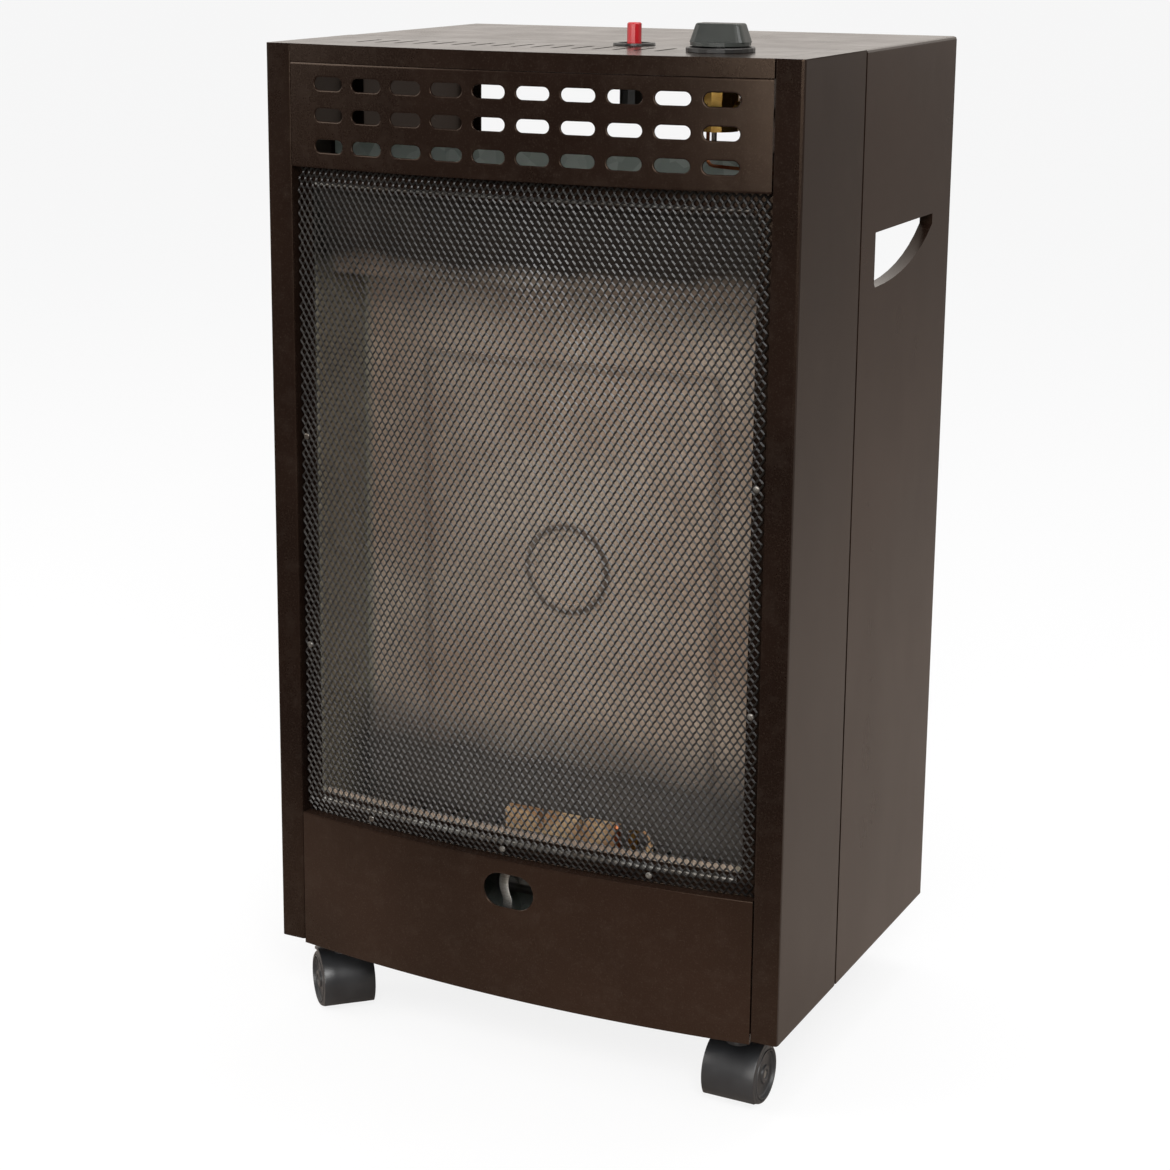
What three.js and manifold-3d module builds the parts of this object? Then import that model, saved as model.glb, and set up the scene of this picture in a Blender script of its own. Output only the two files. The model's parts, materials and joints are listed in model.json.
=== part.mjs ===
// A portable gas cabinet heater on four hooded casters, in millimetres.
// +X is to the right as seen by someone facing the heater, the front faces -Y and +Z is up.
// The origin is on the floor under the middle of the whole, its bowed front included.
import * as THREE from 'three';
import { mergeGeometries, mergeVertices } from 'three/addons/utils/BufferGeometryUtils.js';
import Module from 'manifold-3d';

const wasm = await Module();
wasm.setup();

// Overall cabinet
const WIDTH = 420;
const DEPTH = 320;
const CABINET_HEIGHT = 700;
const FLOOR_CLEARANCE = 62;
const FRONT_DEPTH = 120;
const POST_WIDTH = 21;
const BOW = 15;

// Sheet metal
const SHEET = 1.2;
const BEND = 2.5;
const CLEAR = 0.3;
const SEAM_FLANGE = 12;
const PANEL_RETURN = 10;

// Front panels
const LOWER_PANEL_TOP = 107;
const LOWER_PANEL_DROP = 3;
const GRILLE_HEIGHT = 76;
const TOP_LIP = 13;
const VIEW_HOLE_WIDTH = 35;
const VIEW_HOLE_HEIGHT = 26;
const VIEW_HOLE_BELOW_EDGE = 24;

// Stadium slots of the upper grille
const SLOT_COLUMNS = 10;
const SLOT_ROWS = 3;
const SLOT_LENGTH = 25.5;
const SLOT_HEIGHT = 9.4;
const SLOT_PITCH = 34.3;
const SLOT_ROW_PITCH = 22.5;
const FIRST_ROW_BELOW_TOP = 28;

// Narrow vents of the top panel
const VENT_COUNT = 16;
const VENT_PITCH = 16;
const VENT_LENGTH = 36;
const VENT_WIDTH = 3.4;
const VENT_START_X = -154;
const VENT_FROM_FRONT = 36;

// Guard
const GUARD_INSET = 8;
const GUARD_THICKNESS = 1.6;
const GUARD_COLUMNS = 8;
const GUARD_ROWS = 18;
const GUARD_STRAND = 4;
const GUARD_EDGE = 7;
const FRAME_STRIP = 12;
const FRAME_BAND = 16;

// Firebox
const FIREBOX_DEPTH = 80;
const FIREBOX_HALF = 176;
const FIREBOX_FLOOR = 100;
const FLOOR_LIP = 28;
const HOOD_EDGE = 528;
const HOOD_OVERHANG = 30;
const HOOD_RISE = 22;
const HOOD_VENT = 12;
const EMBOSS = 2;
const EMBOSS_WIDTH = 6;
const EMBOSS_RADIUS = 33;
const EMBOSS_CORNER = 22;
const EMBOSS_FRAME_HALF = 123;
const EMBOSS_FRAME_HEIGHT = 320;

// Heat shield
const SHIELD_FROM_FRONT = 90;
const SHIELD_BELOW_TOP = 75;
const SHIELD_FLANGE = 12;

// Base tray, with a round platform for the gas cylinder
const TRAY_RIM = 20;
const PLATFORM_RADIUS = 92;
const PLATFORM_RISE = 1.5;

// Hand-hold in each side
const HANDLE_FROM_SEAM = 30;
const HANDLE_LENGTH = 128;
const HANDLE_BELOW_TOP = 131;
const HANDLE_HEIGHT = 40;
const HANDLE_TIP = 8;
const HANDLE_LIP = 10;

// Rear cover
const COVER_HEIGHT = 500;
const COVER_RIM = 9;
const COVER_HOOK_WIDTH = 40;
const COVER_HOOK_SPACING = 240;
const COVER_HOOK_DROP = 9;
const COVER_LIFT_GAP = 0.8;
const LOUVRE_COUNT = 7;
const LOUVRE_LENGTH = 110;
const LOUVRE_HEIGHT = 6;
const LOUVRE_PITCH = 22;
const LOUVRE_OFFSET = 85;
const LOUVRE_BOTTOM = 90;

// Control knob and gas tap
const KNOB_X = 128;
const KNOB_FROM_FRONT = 52;
const KNOB_BASE_RADIUS = 24;
const KNOB_SKIRT_RADIUS = 21;
const KNOB_SKIRT_HEIGHT = 2.5;
const KNOB_LENGTH = 41;
const KNOB_THICKNESS = 20;
const KNOB_HEIGHT = 12.5;
const KNOB_CORNER = 4;
const KNOB_BEVEL = 1.2;
const KNOB_TAPER = 0.2;
const KNOB_PRESS = 3;
const BEZEL_HEIGHT = 3;
const BEZEL_FLOOR = 0.8;
const BEZEL_EDGE = 0.6;
const BEZEL_PLAY = 1;
const SPINDLE_RADIUS = 3;
const SPINDLE_SEAT = 10;
const PLUG_RADIUS = 6;
const TAP_RADIUS = 14;
const TAP_NECK_RADIUS = 9.5;
const TAP_NECK_LENGTH = 8;
const TAP_HEIGHT = 30;
const TAP_BELOW_TOP = 24;
const TAP_FLOOR = 4;
const PORT_WALL = 2;
const PORT_ROOT = 3;
const PORT_BOSS = 4;
const BRACKET_LENGTH = 46;
const BRACKET_FOOT = 10;

// Igniter
const IGNITER_X = 42;
const IGNITER_FROM_FRONT = 97;
const BUTTON_RADIUS = 5.2;
const BUTTON_HEIGHT = 16;
const BUTTON_PRESS = 6;
const BUTTON_STEM = 14;
const BUTTON_EDGE = 0.8;
const BUTTON_RIM = 2;
const BUTTON_SLOPE = 0.6;
const BUTTON_DISH = 0.5;
const COLLAR_RADIUS = 15.5;
const COLLAR_FLANGE = 1.4;
const COLLAR_NECK_RADIUS = 11;
const COLLAR_NECK = 9;
const COLLAR_EDGE = 0.5;
const COLLAR_SLOPE = 1;
const IGNITER_RADIUS = 10;
const IGNITER_LENGTH = 44;
const IGNITER_TERMINAL = 6;
const IGNITER_SHOULDER = 8;
const IGNITER_SPRING = 16;
const SPRING_WIRE = 0.9;

// Pipes
const BURNER_PIPE_RADIUS = 4;
const PILOT_PIPE_RADIUS = 2;
const LEAD_RADIUS = 1.3;
const INLET_RADIUS = 5;
const PIPE_BEND = 12;
const PILOT_PIPE_FORWARD = 19;
const LEAD_FORWARD = 26;
const TAP_PORT_OFFSET = 8;
const INLET_REACH = 62;
const BARB_LENGTH = 26;
const BARB_RADIUS = 4.6;
const BARB_RIDGE = 1.2;
const BARB_RIDGES = 3;
const BARB_NECK = 1;
const BARB_ROOT = 0.5;
const BARB_TAIL = 4;
const BARB_NUT = 8;
const BARB_NUT_WALL = 3;

// Burner
const BURNER_FROM_FRONT = 54;
const BURNER_LENGTH = 260;
const BURNER_WIDTH = 34;
const BURNER_DEPTH = 20;
const BURNER_RISE = 6;
const BURNER_FLANGE = 5;
const PORT_COUNT = 20;
const PORT_WIDTH = 3;
const PORT_LENGTH = 20;
const MIXER_RADIUS = 11;
const MIXER_WALL = 1.5;
const MIXER_MOUTH_RADIUS = 15;
const MIXER_LENGTH = 150;
const MIXER_MOUTH_X = 118;
const MIXER_DROP = 16;
const INJECTOR_BLOCK = 16;
const INJECTOR_AIR_GAP = 10;
const INJECTOR_NOZZLE = 9;
const NOZZLE_TIP_RADIUS = 2;
const NOZZLE_RADIUS = 4;
const NOZZLE_ROOT_RADIUS = 5;
const CERAMIC_COUNT = 3;
const CERAMIC_LENGTH = 28;
const CERAMIC_THICKNESS = 9;
const CERAMIC_HEIGHT = 16;
const CERAMIC_BASE = 4;
const CERAMIC_PITCH = 33;
const CERAMIC_START_X = -22;

// Pilot assembly
const PILOT_X = 84;
const PILOT_SPACING = 13;
const PILOT_FROM_FRONT = 24;
const PILOT_SHELF = 12;
const PILOT_BRACKET_DEPTH = 14;
const PILOT_RADIUS = 4;
const PILOT_HEIGHT = 24;
const PILOT_COLLAR = 2;
const PILOT_COLLAR_HEIGHT = 3;
const PILOT_WALL = 1;
const PILOT_BORE = 6;
const ELECTRODE_RADIUS = 3;
const ELECTRODE_COLLAR = 1.2;
const ELECTRODE_COLLAR_HEIGHT = 3;
const ELECTRODE_TAPER = 0.6;
const ELECTRODE_WIRE = 1;
const SPARK_RISE = 6;
const SPARK_REACH = 5;
const SPARK_TIP = 4;
const PROBE_RADIUS = 2.5;
const PROBE_COLLAR = 1.5;
const PROBE_COLLAR_HEIGHT = 4;
const PROBE_TIP = 3;
const PROBE_TAPER = 1;

// Casters
const CASTER_INSET_X = 40;
const CASTER_INSET_X_REAR = 66;
const CASTER_INSET_Y = 27;
const CASTER_INSET_REAR = 45;
const WHEEL_RADIUS = 22.5;
const WHEEL_WIDTH = 16.5;
const WEB_THICKNESS = 8;
const TREAD_INNER_EDGE = 1;
const TREAD_INNER_CHAMFER = 1.5;
const TREAD_OUTER_CHAMFER = 3;
const TREAD_SHOULDER = 2;
const TREAD_SHOULDER_EDGE = 0.6;
const RIM_WIDTH = 4;
const RIM_SLOPE = 1;
const DISH_DEPTH = 2.5;
const HUB_WALL = 3;
const HUB_SLOPE = 1;
const HUB_RECESS = 0.4;
const AXLE_RADIUS = 3;
const CASTER_TRAIL = 4;
// The front left caster rests swivelled by this much.
const CASTER_REST_TURN = Math.PI / 4;
const HOOD_GAP = 1;
const HOOD_WALL = 2.4;
const HOOD_REAR_ANGLE = Math.PI * 0.38;
const HOOD_FRONT_ANGLE = Math.PI * 1.19;
const STEM_RADIUS = 5;
const STEM_LENGTH = 17;
const STEM_BOSS_RADIUS = 9;
const SOCKET_RADIUS = 7.5;
const SOCKET_FLANGE_RADIUS = 13;
const SOCKET_FLANGE = 2;

// Facets
const BOW_STEPS = 12;
const ROUND_STEPS = 5;
const BEND_STEPS = 2;
const SMALL_BEND_STEPS = 1;
const PIPE_BEND_STEPS = 3;
const CORNER_STEPS = 4;
const VENT_STEPS = 2;
const SLOT_STEPS = 3;
const VIEW_HOLE_STEPS = 8;
const HANDLE_STEPS = 8;
const HOOD_STEPS = 6;
const EMBOSS_SIDES = 12;
const PLATFORM_SIDES = 16;
const PIPE_SIDES = 8;
const LEAD_SIDES = 6;
const SMALL_SIDES = 12;
const WHEEL_SIDES = 18;
const KNOB_SIDES = 24;

// Places worked out from the sizes above
const FRONT_Y = (BOW - DEPTH) / 2;
const REAR_Y = FRONT_Y + DEPTH;
const SEAM_Y = FRONT_Y + FRONT_DEPTH;
const BASE_Z = FLOOR_CLEARANCE;
const TOP_Z = BASE_Z + CABINET_HEIGHT;
const UNDER_TOP_Z = TOP_Z - SHEET;
const HALF_WIDTH = WIDTH / 2;
const INNER_HALF = HALF_WIDTH - SHEET;
const POST_INNER_X = HALF_WIDTH - POST_WIDTH;
const PANEL_HALF = POST_INNER_X - CLEAR;
const LOWER_TOP_Z = BASE_Z + LOWER_PANEL_TOP;
const LOWER_BOTTOM_Z = BASE_Z - LOWER_PANEL_DROP;
const LIP_Z = TOP_Z - TOP_LIP;
const GRILLE_TOP_Z = LIP_Z - CLEAR;
const GRILLE_BOTTOM_Z = GRILLE_TOP_Z - GRILLE_HEIGHT;
const GUARD_BOTTOM_Z = LOWER_TOP_Z + CLEAR;
const GUARD_TOP_Z = GRILLE_BOTTOM_Z - CLEAR;
const FRAME_INSET = GUARD_INSET + GUARD_THICKNESS + CLEAR;
const BEHIND_FRAME_Y = FRONT_Y + FRAME_INSET + SHEET + CLEAR;
const POST_RETURN = FRAME_INSET + SHEET + 2 * CLEAR;
const TRAY_FLOOR_Z = BASE_Z + SHEET;
const TRAY_RIM_Z = BASE_Z + TRAY_RIM;
const COVER_RIM_Y = REAR_Y - COVER_RIM;
const STOP_Y = COVER_RIM_Y - CLEAR;
const TRAY_REAR_Y = STOP_Y - SHEET - CLEAR;
const TRAY_FRONT_Y = FRONT_Y + POST_RETURN + CLEAR;
const TRAY_HALF = INNER_HALF - CLEAR;
const SHIELD_HALF = TRAY_HALF - SHEET - CLEAR;
const SHIELD_Y = FRONT_Y + SHIELD_FROM_FRONT;
const SHIELD_TOP_Z = TOP_Z - SHIELD_BELOW_TOP;
const FIREBOX_BACK_Y = FRONT_Y + FIREBOX_DEPTH;
const FIREBOX_FLOOR_Z = BASE_Z + FIREBOX_FLOOR;
const HOOD_EDGE_Z = BASE_Z + HOOD_EDGE;
const HOOD_EDGE_Y = FRONT_Y + HOOD_OVERHANG;
const HOOD_REAR_Y = FIREBOX_BACK_Y - HOOD_VENT;
const BACK_TOP_Z = HOOD_EDGE_Z + HOOD_RISE;
const BURNER_Y = FRONT_Y + BURNER_FROM_FRONT;
const BURNER_BOTTOM_Z = FIREBOX_FLOOR_Z - BURNER_DEPTH;
const BURNER_TOP_Z = FIREBOX_FLOOR_Z + BURNER_RISE;
const MIXER_Z = BURNER_BOTTOM_Z - MIXER_DROP;
const KNOB_Y = FRONT_Y + KNOB_FROM_FRONT;
const IGNITER_Y = FRONT_Y + IGNITER_FROM_FRONT;
const TAP_TOP_Z = TOP_Z - TAP_BELOW_TOP;
const TAP_BOTTOM_Z = TAP_TOP_Z - TAP_HEIGHT;
const TAP_PORT_Z = (TAP_TOP_Z + TAP_BOTTOM_Z) / 2;
const PIPE_SHAFT_X = (FIREBOX_HALF + SHEET + INNER_HALF) / 2;
const PILOT_Y = FRONT_Y + PILOT_FROM_FRONT;
const PILOT_SHELF_Z = FIREBOX_FLOOR_Z + PILOT_SHELF;
const PILOT_FOOT_Z = PILOT_SHELF_Z - 3 * SHEET;
const IGNITER_TOP_Z = UNDER_TOP_Z - COLLAR_NECK - CLEAR;
const BUTTON_BOTTOM_Z = UNDER_TOP_Z - BUTTON_STEM;
const SPRING_BOTTOM_Z = BUTTON_BOTTOM_Z - CLEAR - IGNITER_SPRING;
const STEM_TOP_Z = BASE_Z + STEM_LENGTH;
const STEM_FOOT_Z = BASE_Z - SOCKET_FLANGE - 2 * CLEAR;
const BOW_RADIUS = (PANEL_HALF ** 2 + BOW ** 2) / (2 * BOW);

// Finishes
function finish(color, roughness, metalness) {
  return new THREE.MeshStandardMaterial({ color, roughness, metalness });
}

const BLACK_ENAMEL = finish('#231d1b', 0.35, 0.3);
const BROWN_ENAMEL = finish('#3d332c', 0.4, 0.3);
const MESH_BLACK = finish('#1b1b1b', 0.4, 0.6);
const STAINLESS = finish('#8c8078', 0.35, 0.9);
const GALVANISED = finish('#8f9793', 0.5, 0.8);
const BRASS = finish('#b08d4a', 0.35, 0.9);
const COPPER = finish('#b06a43', 0.35, 0.9);
const STEEL = finish('#9a9c9e', 0.35, 0.9);
const CERAMIC = finish('#d8b890', 0.9, 0);
const KNOB_GREY = finish('#3c413e', 0.5, 0);
const BLACK_PLASTIC = finish('#141414', 0.5, 0);
const BUTTON_RED = finish('#be1e28', 0.35, 0);
const CASTER_GREY = finish('#2e3134', 0.55, 0);
const WHEEL_GREY = finish('#3a3d40', 0.6, 0);

// Points closer than this are one point.
const SAME_PLACE = 1e-4;

const heater = new THREE.Group();

function add(name, geometry, material, parent = heater) {
  const mesh = new THREE.Mesh(weld(geometry), material);
  mesh.name = name;
  parent.add(mesh);
  return mesh;
}

// Solids and joins

// Merges shared vertices, drops flat triangles and turns the faces outwards.
function weld(geometry) {
  const bare = geometry.clone();
  bare.deleteAttribute('normal');
  bare.deleteAttribute('uv');
  const merged = mergeVertices(bare, SAME_PLACE);
  const position = merged.attributes.position;
  const index = merged.index.array;
  const kept = [];
  let volume = 0;
  const [a, b, c] = [new THREE.Vector3(), new THREE.Vector3(), new THREE.Vector3()];
  for (let i = 0; i < index.length; i += 3) {
    const [p, q, r] = [index[i], index[i + 1], index[i + 2]];
    if (p === q || q === r || r === p) continue;
    kept.push(p, q, r);
    a.fromBufferAttribute(position, p);
    b.fromBufferAttribute(position, q);
    c.fromBufferAttribute(position, r);
    volume += a.dot(b.cross(c));
  }
  merged.setIndex(volume < 0 ? kept.reverse() : kept);
  return merged;
}

function toManifold(geometry) {
  const closed = weld(geometry);
  return new wasm.Manifold(new wasm.Mesh({
    numProp: 3,
    vertProperties: Float32Array.from(closed.attributes.position.array),
    triVerts: Uint32Array.from(closed.index.array),
  }));
}

function toGeometry(manifold) {
  const mesh = manifold.getMesh();
  const geometry = new THREE.BufferGeometry();
  const places = Float32Array.from(mesh.vertProperties);
  geometry.setAttribute('position', new THREE.BufferAttribute(places, 3));
  geometry.setIndex(Array.from(mesh.triVerts));
  return geometry;
}

function join(...geometries) {
  return toGeometry(geometries.map(toManifold).reduce((whole, piece) => whole.add(piece)));
}

function cut(geometry, ...tools) {
  const whole = toManifold(geometry);
  return toGeometry(tools.map(toManifold).reduce((rest, tool) => rest.subtract(tool), whole));
}

// Separate solids, such as a row of holes to be cut at once.
function together(geometries) {
  return mergeGeometries(geometries.map(weld));
}

// Outlines

function point(x, y) {
  return new THREE.Vector2(x, y);
}

// Replaces each inner corner of a line with a bend.
function rounded(corners, radius, steps = BEND_STEPS) {
  const line = [corners[0]];
  for (let i = 1; i < corners.length - 1; i += 1) {
    const corner = corners[i];
    const before = corners[i - 1].clone().sub(corner);
    const after = corners[i + 1].clone().sub(corner);
    const turn = Math.PI - before.angleTo(after);
    const reach = Math.min(radius * Math.tan(turn / 2), before.length() / 2, after.length() / 2);
    const start = corner.clone().add(before.setLength(reach));
    const end = corner.clone().add(after.setLength(reach));
    for (let k = 0; k <= steps; k += 1) {
      const t = k / steps;
      const p = start.clone().multiplyScalar((1 - t) * (1 - t));
      p.addScaledVector(corner, 2 * t * (1 - t));
      p.addScaledVector(end, t * t);
      line.push(p);
    }
  }
  line.push(corners[corners.length - 1]);
  return line;
}

// Moves a line sideways: a positive distance goes to the left of its direction.
function beside(line, distance) {
  return line.map((p, i) => {
    const before = line[Math.max(i - 1, 0)];
    const after = line[Math.min(i + 1, line.length - 1)];
    const into = p.clone().sub(before).normalize();
    const out = after.clone().sub(p).normalize();
    if (i === 0) into.copy(out);
    if (i === line.length - 1) out.copy(into);
    const along = into.clone().add(out).normalize();
    const stretch = distance / Math.max(along.dot(into), 0.5);
    return point(p.x - along.y * stretch, p.y + along.x * stretch);
  });
}

// The section of a folded sheet whose outer face follows the line.
function sheetSection(line, thickness) {
  return new THREE.Shape([...line, ...beside(line, thickness).reverse()]);
}

function rectangle(x0, y0, x1, y1) {
  return new THREE.Shape([point(x0, y0), point(x1, y0), point(x1, y1), point(x0, y1)]);
}

function stadium(length, height, steps = ROUND_STEPS) {
  const radius = height / 2;
  const reach = (length - height) / 2;
  const outline = [];
  for (const [side, from] of [[1, -Math.PI / 2], [-1, Math.PI / 2]]) {
    for (let k = 0; k <= steps; k += 1) {
      const angle = from + (Math.PI * k) / steps;
      outline.push(point(side * reach + radius * Math.cos(angle), radius * Math.sin(angle)));
    }
  }
  return new THREE.Shape(outline);
}

// Extrusions along the three axes: the shape's x and y are the other two axes in X, Y, Z order.

function extrude(shape, length) {
  const options = { depth: length, bevelEnabled: false, curveSegments: ROUND_STEPS };
  return new THREE.ExtrudeGeometry(shape, options);
}

function alongZ(shape, z0, z1) {
  return extrude(shape, z1 - z0).translate(0, 0, z0);
}

function alongX(shape, x0, x1) {
  const turn = new THREE.Matrix4().makeBasis(
    new THREE.Vector3(0, 1, 0), new THREE.Vector3(0, 0, 1), new THREE.Vector3(1, 0, 0));
  return extrude(shape, x1 - x0).applyMatrix4(turn).translate(x0, 0, 0);
}

function alongY(shape, y0, y1) {
  const turn = new THREE.Matrix4().makeBasis(
    new THREE.Vector3(1, 0, 0), new THREE.Vector3(0, 0, 1), new THREE.Vector3(0, -1, 0));
  return extrude(shape, y1 - y0).applyMatrix4(turn).translate(0, y1, 0);
}

function block(x0, x1, y0, y1, z0, z1) {
  return alongZ(rectangle(x0, y0, x1, y1), z0, z1);
}

function rod(radius, z0, z1, sides = SMALL_SIDES) {
  const cylinder = new THREE.CylinderGeometry(radius, radius, z1 - z0, sides);
  return cylinder.rotateX(Math.PI / 2).translate(0, 0, (z0 + z1) / 2);
}

// Revolves [radius, height] pairs about Z: the profile closes on itself.
function turned(profile, sides = SMALL_SIDES) {
  const points = [...profile, profile[0]].map(([radius, height]) => point(radius, height));
  return new THREE.LatheGeometry(points, sides).rotateX(Math.PI / 2);
}

// The same about X.
function turnedX(profile, sides = SMALL_SIDES) {
  const points = [...profile, profile[0]].map(([radius, along]) => point(radius, along));
  return new THREE.LatheGeometry(points, sides).rotateZ(-Math.PI / 2);
}

// The corner radius of a faceted hole that clears a round rod by CLEAR.
function holeRadius(radius, sides = SMALL_SIDES) {
  return (radius + CLEAR) / Math.cos(Math.PI / sides);
}

// A path that places one ring at each of its points.
class BentPath extends THREE.Curve {
  constructor(points) {
    super();
    this.points = points;
  }

  getPointAt(u) {
    const along = u * (this.points.length - 1);
    const i = Math.min(Math.floor(along + SAME_PLACE), this.points.length - 2);
    return this.points[i].clone().lerp(this.points[i + 1], along - i);
  }

  getTangentAt(u) {
    const i = Math.round(u * (this.points.length - 1));
    const before = this.points[Math.max(i - 1, 0)];
    const after = this.points[Math.min(i + 1, this.points.length - 1)];
    return after.clone().sub(before).normalize();
  }
}

function pipe(corners, radius, bend = PIPE_BEND, sides = PIPE_SIDES) {
  const places = corners.map(([x, y, z]) => new THREE.Vector3(x, y, z));
  const points = rounded(places, bend, PIPE_BEND_STEPS);
  const section = new THREE.Shape();
  section.absarc(0, 0, radius, 0, 2 * Math.PI);
  return new THREE.ExtrudeGeometry(section, {
    steps: points.length - 1,
    curveSegments: sides / 2,
    extrudePath: new BentPath(points),
  });
}

// Bowed front

// How far the front's outer face lies from the post line at x, less an inset behind that face.
function bowY(x, inset = 0) {
  return FRONT_Y - BOW + BOW_RADIUS - Math.sqrt((BOW_RADIUS - inset) ** 2 - x ** 2);
}

function bowLine(inset = 0, half = PANEL_HALF) {
  const line = [];
  for (let k = 0; k <= BOW_STEPS; k += 1) {
    const x = half * ((2 * k) / BOW_STEPS - 1);
    line.push(point(x, bowY(x, inset)));
  }
  return line;
}

// A level plate from the bowed front to a straight back edge.
function bowPlate(inset, backY, z0, z1, half = PANEL_HALF) {
  const outline = [...bowLine(inset, half), point(half, backY), point(-half, backY)];
  return alongZ(new THREE.Shape(outline), z0, z1);
}

// A strip that follows the bow: upright when narrow, a shelf when wide.
function bowStrip(inset, width, z0, z1, half = PANEL_HALF) {
  return alongZ(sheetSection(bowLine(inset, half), width), z0, z1);
}

// A bowed upright sheet with a return at each side.
function bowSheet(z0, z1) {
  const backY = FRONT_Y + PANEL_RETURN;
  const line = [point(-PANEL_HALF, backY), ...bowLine(), point(PANEL_HALF, backY)];
  return alongZ(sheetSection(line, SHEET), z0, z1);
}

// Cuts through the bowed sheet square to its face at x.
function throughBow(shape, x, z) {
  const reach = PANEL_RETURN / 2;
  return alongY(shape, -reach, reach)
    .rotateZ(Math.asin(x / BOW_RADIUS))
    .translate(x, bowY(x), z);
}

// Cabinet

function column(side) {
  const seamY = SEAM_Y - CLEAR / 2;
  const corners = [
    point(POST_INNER_X, FRONT_Y + POST_RETURN),
    point(POST_INNER_X, FRONT_Y),
    point(HALF_WIDTH, FRONT_Y),
    point(HALF_WIDTH, seamY),
    point(HALF_WIDTH - SEAM_FLANGE, seamY),
  ];
  const post = alongZ(sheetSection(rounded(corners, BEND), SHEET), BASE_Z, TOP_Z);
  const capLine = rounded([...corners.slice(1, 4), point(POST_INNER_X, seamY)], BEND);
  const cap = alongZ(new THREE.Shape(capLine), UNDER_TOP_Z, TOP_Z);
  const relief = block(
    HALF_WIDTH - SEAM_FLANGE - CLEAR, INNER_HALF,
    seamY - FRONT_DEPTH / 2, seamY + SHEET, BASE_Z - SHEET, TRAY_RIM_Z + CLEAR);
  const shape = cut(join(post, cap), relief);
  return side < 0 ? mirrored(shape) : shape;
}

function mirrored(geometry) {
  return geometry.clone().scale(-1, 1, 1);
}

function baseTray() {
  const floor = block(-TRAY_HALF, TRAY_HALF, TRAY_FRONT_Y, TRAY_REAR_Y, BASE_Z, TRAY_FLOOR_Z);
  const rim = (x0, x1, y0, y1) => block(x0, x1, y0, y1, BASE_Z, TRAY_RIM_Z);
  const frontHalf = POST_INNER_X - SHEET - CLEAR;
  const pan = join(
    floor,
    rim(-TRAY_HALF, SHEET - TRAY_HALF, TRAY_FRONT_Y, TRAY_REAR_Y),
    rim(TRAY_HALF - SHEET, TRAY_HALF, TRAY_FRONT_Y, TRAY_REAR_Y),
    rim(-frontHalf, frontHalf, TRAY_FRONT_Y, TRAY_FRONT_Y + SHEET),
    rim(-TRAY_HALF, TRAY_HALF, TRAY_REAR_Y - SHEET, TRAY_REAR_Y));
  const platform = rod(PLATFORM_RADIUS, BASE_Z, TRAY_FLOOR_Z + PLATFORM_RISE, PLATFORM_SIDES);
  const bayMiddleY = (SHIELD_Y + SHIELD_FLANGE + TRAY_REAR_Y - SHEET) / 2;
  const holes = casterPlaces().map(([, x, y]) =>
    rod(holeRadius(SOCKET_RADIUS), BASE_Z - SHEET, TRAY_FLOOR_Z + SHEET).translate(x, y, 0));
  return cut(join(pan, platform.translate(0, bayMiddleY, 0)), together(holes));
}

function topPanel() {
  const seamY = SEAM_Y - CLEAR / 2;
  const plate = bowPlate(0, seamY, UNDER_TOP_Z, TOP_Z);
  const lip = bowStrip(0, SHEET, LIP_Z, TOP_Z);
  const rearFlange = block(-PANEL_HALF, PANEL_HALF, seamY - SHEET, seamY, LIP_Z, TOP_Z);
  const sideFlange = block(PANEL_HALF - SHEET, PANEL_HALF, FRONT_Y, seamY, LIP_Z, TOP_Z);
  const folded = join(plate, lip, rearFlange, sideFlange, mirrored(sideFlange));
  const vents = [];
  for (let k = 0; k < VENT_COUNT; k += 1) {
    const outline = stadium(VENT_LENGTH, VENT_WIDTH, VENT_STEPS);
    const vent = alongZ(outline, UNDER_TOP_Z - SHEET, TOP_Z + SHEET);
    vents.push(vent.rotateZ(Math.PI / 2).translate(
      VENT_START_X + k * VENT_PITCH, FRONT_Y + VENT_FROM_FRONT + VENT_LENGTH / 2, 0));
  }
  const knobHole = rod(holeRadius(TAP_NECK_RADIUS), UNDER_TOP_Z - SHEET, TOP_Z + SHEET);
  const buttonHole = rod(holeRadius(COLLAR_NECK_RADIUS), UNDER_TOP_Z - SHEET, TOP_Z + SHEET);
  return cut(folded, together([
    ...vents,
    knobHole.translate(KNOB_X, KNOB_Y, 0),
    buttonHole.translate(IGNITER_X, IGNITER_Y, 0),
  ]));
}

function upperGrille() {
  const panel = join(
    bowSheet(GRILLE_BOTTOM_Z, GRILLE_TOP_Z),
    bowStrip(0, PANEL_RETURN, GRILLE_BOTTOM_Z, GRILLE_BOTTOM_Z + SHEET),
    bowStrip(0, PANEL_RETURN, GRILLE_TOP_Z - SHEET, GRILLE_TOP_Z));
  const slots = [];
  for (let row = 0; row < SLOT_ROWS; row += 1) {
    for (let k = 0; k < SLOT_COLUMNS; k += 1) {
      const arc = (k - (SLOT_COLUMNS - 1) / 2) * SLOT_PITCH;
      const x = BOW_RADIUS * Math.sin(arc / BOW_RADIUS);
      const z = TOP_Z - FIRST_ROW_BELOW_TOP - row * SLOT_ROW_PITCH;
      slots.push(throughBow(stadium(SLOT_LENGTH, SLOT_HEIGHT, SLOT_STEPS), x, z));
    }
  }
  return cut(panel, together(slots));
}

function lowerFrontPanel() {
  const panel = join(
    bowSheet(LOWER_BOTTOM_Z, LOWER_TOP_Z),
    bowStrip(0, PANEL_RETURN, LOWER_BOTTOM_Z, LOWER_BOTTOM_Z + SHEET),
    bowStrip(0, PANEL_RETURN, LOWER_TOP_Z - SHEET, LOWER_TOP_Z));
  const outline = stadium(VIEW_HOLE_WIDTH, VIEW_HOLE_HEIGHT, VIEW_HOLE_STEPS);
  return cut(panel, throughBow(outline, 0, LOWER_TOP_Z - VIEW_HOLE_BELOW_EDGE));
}

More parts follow.
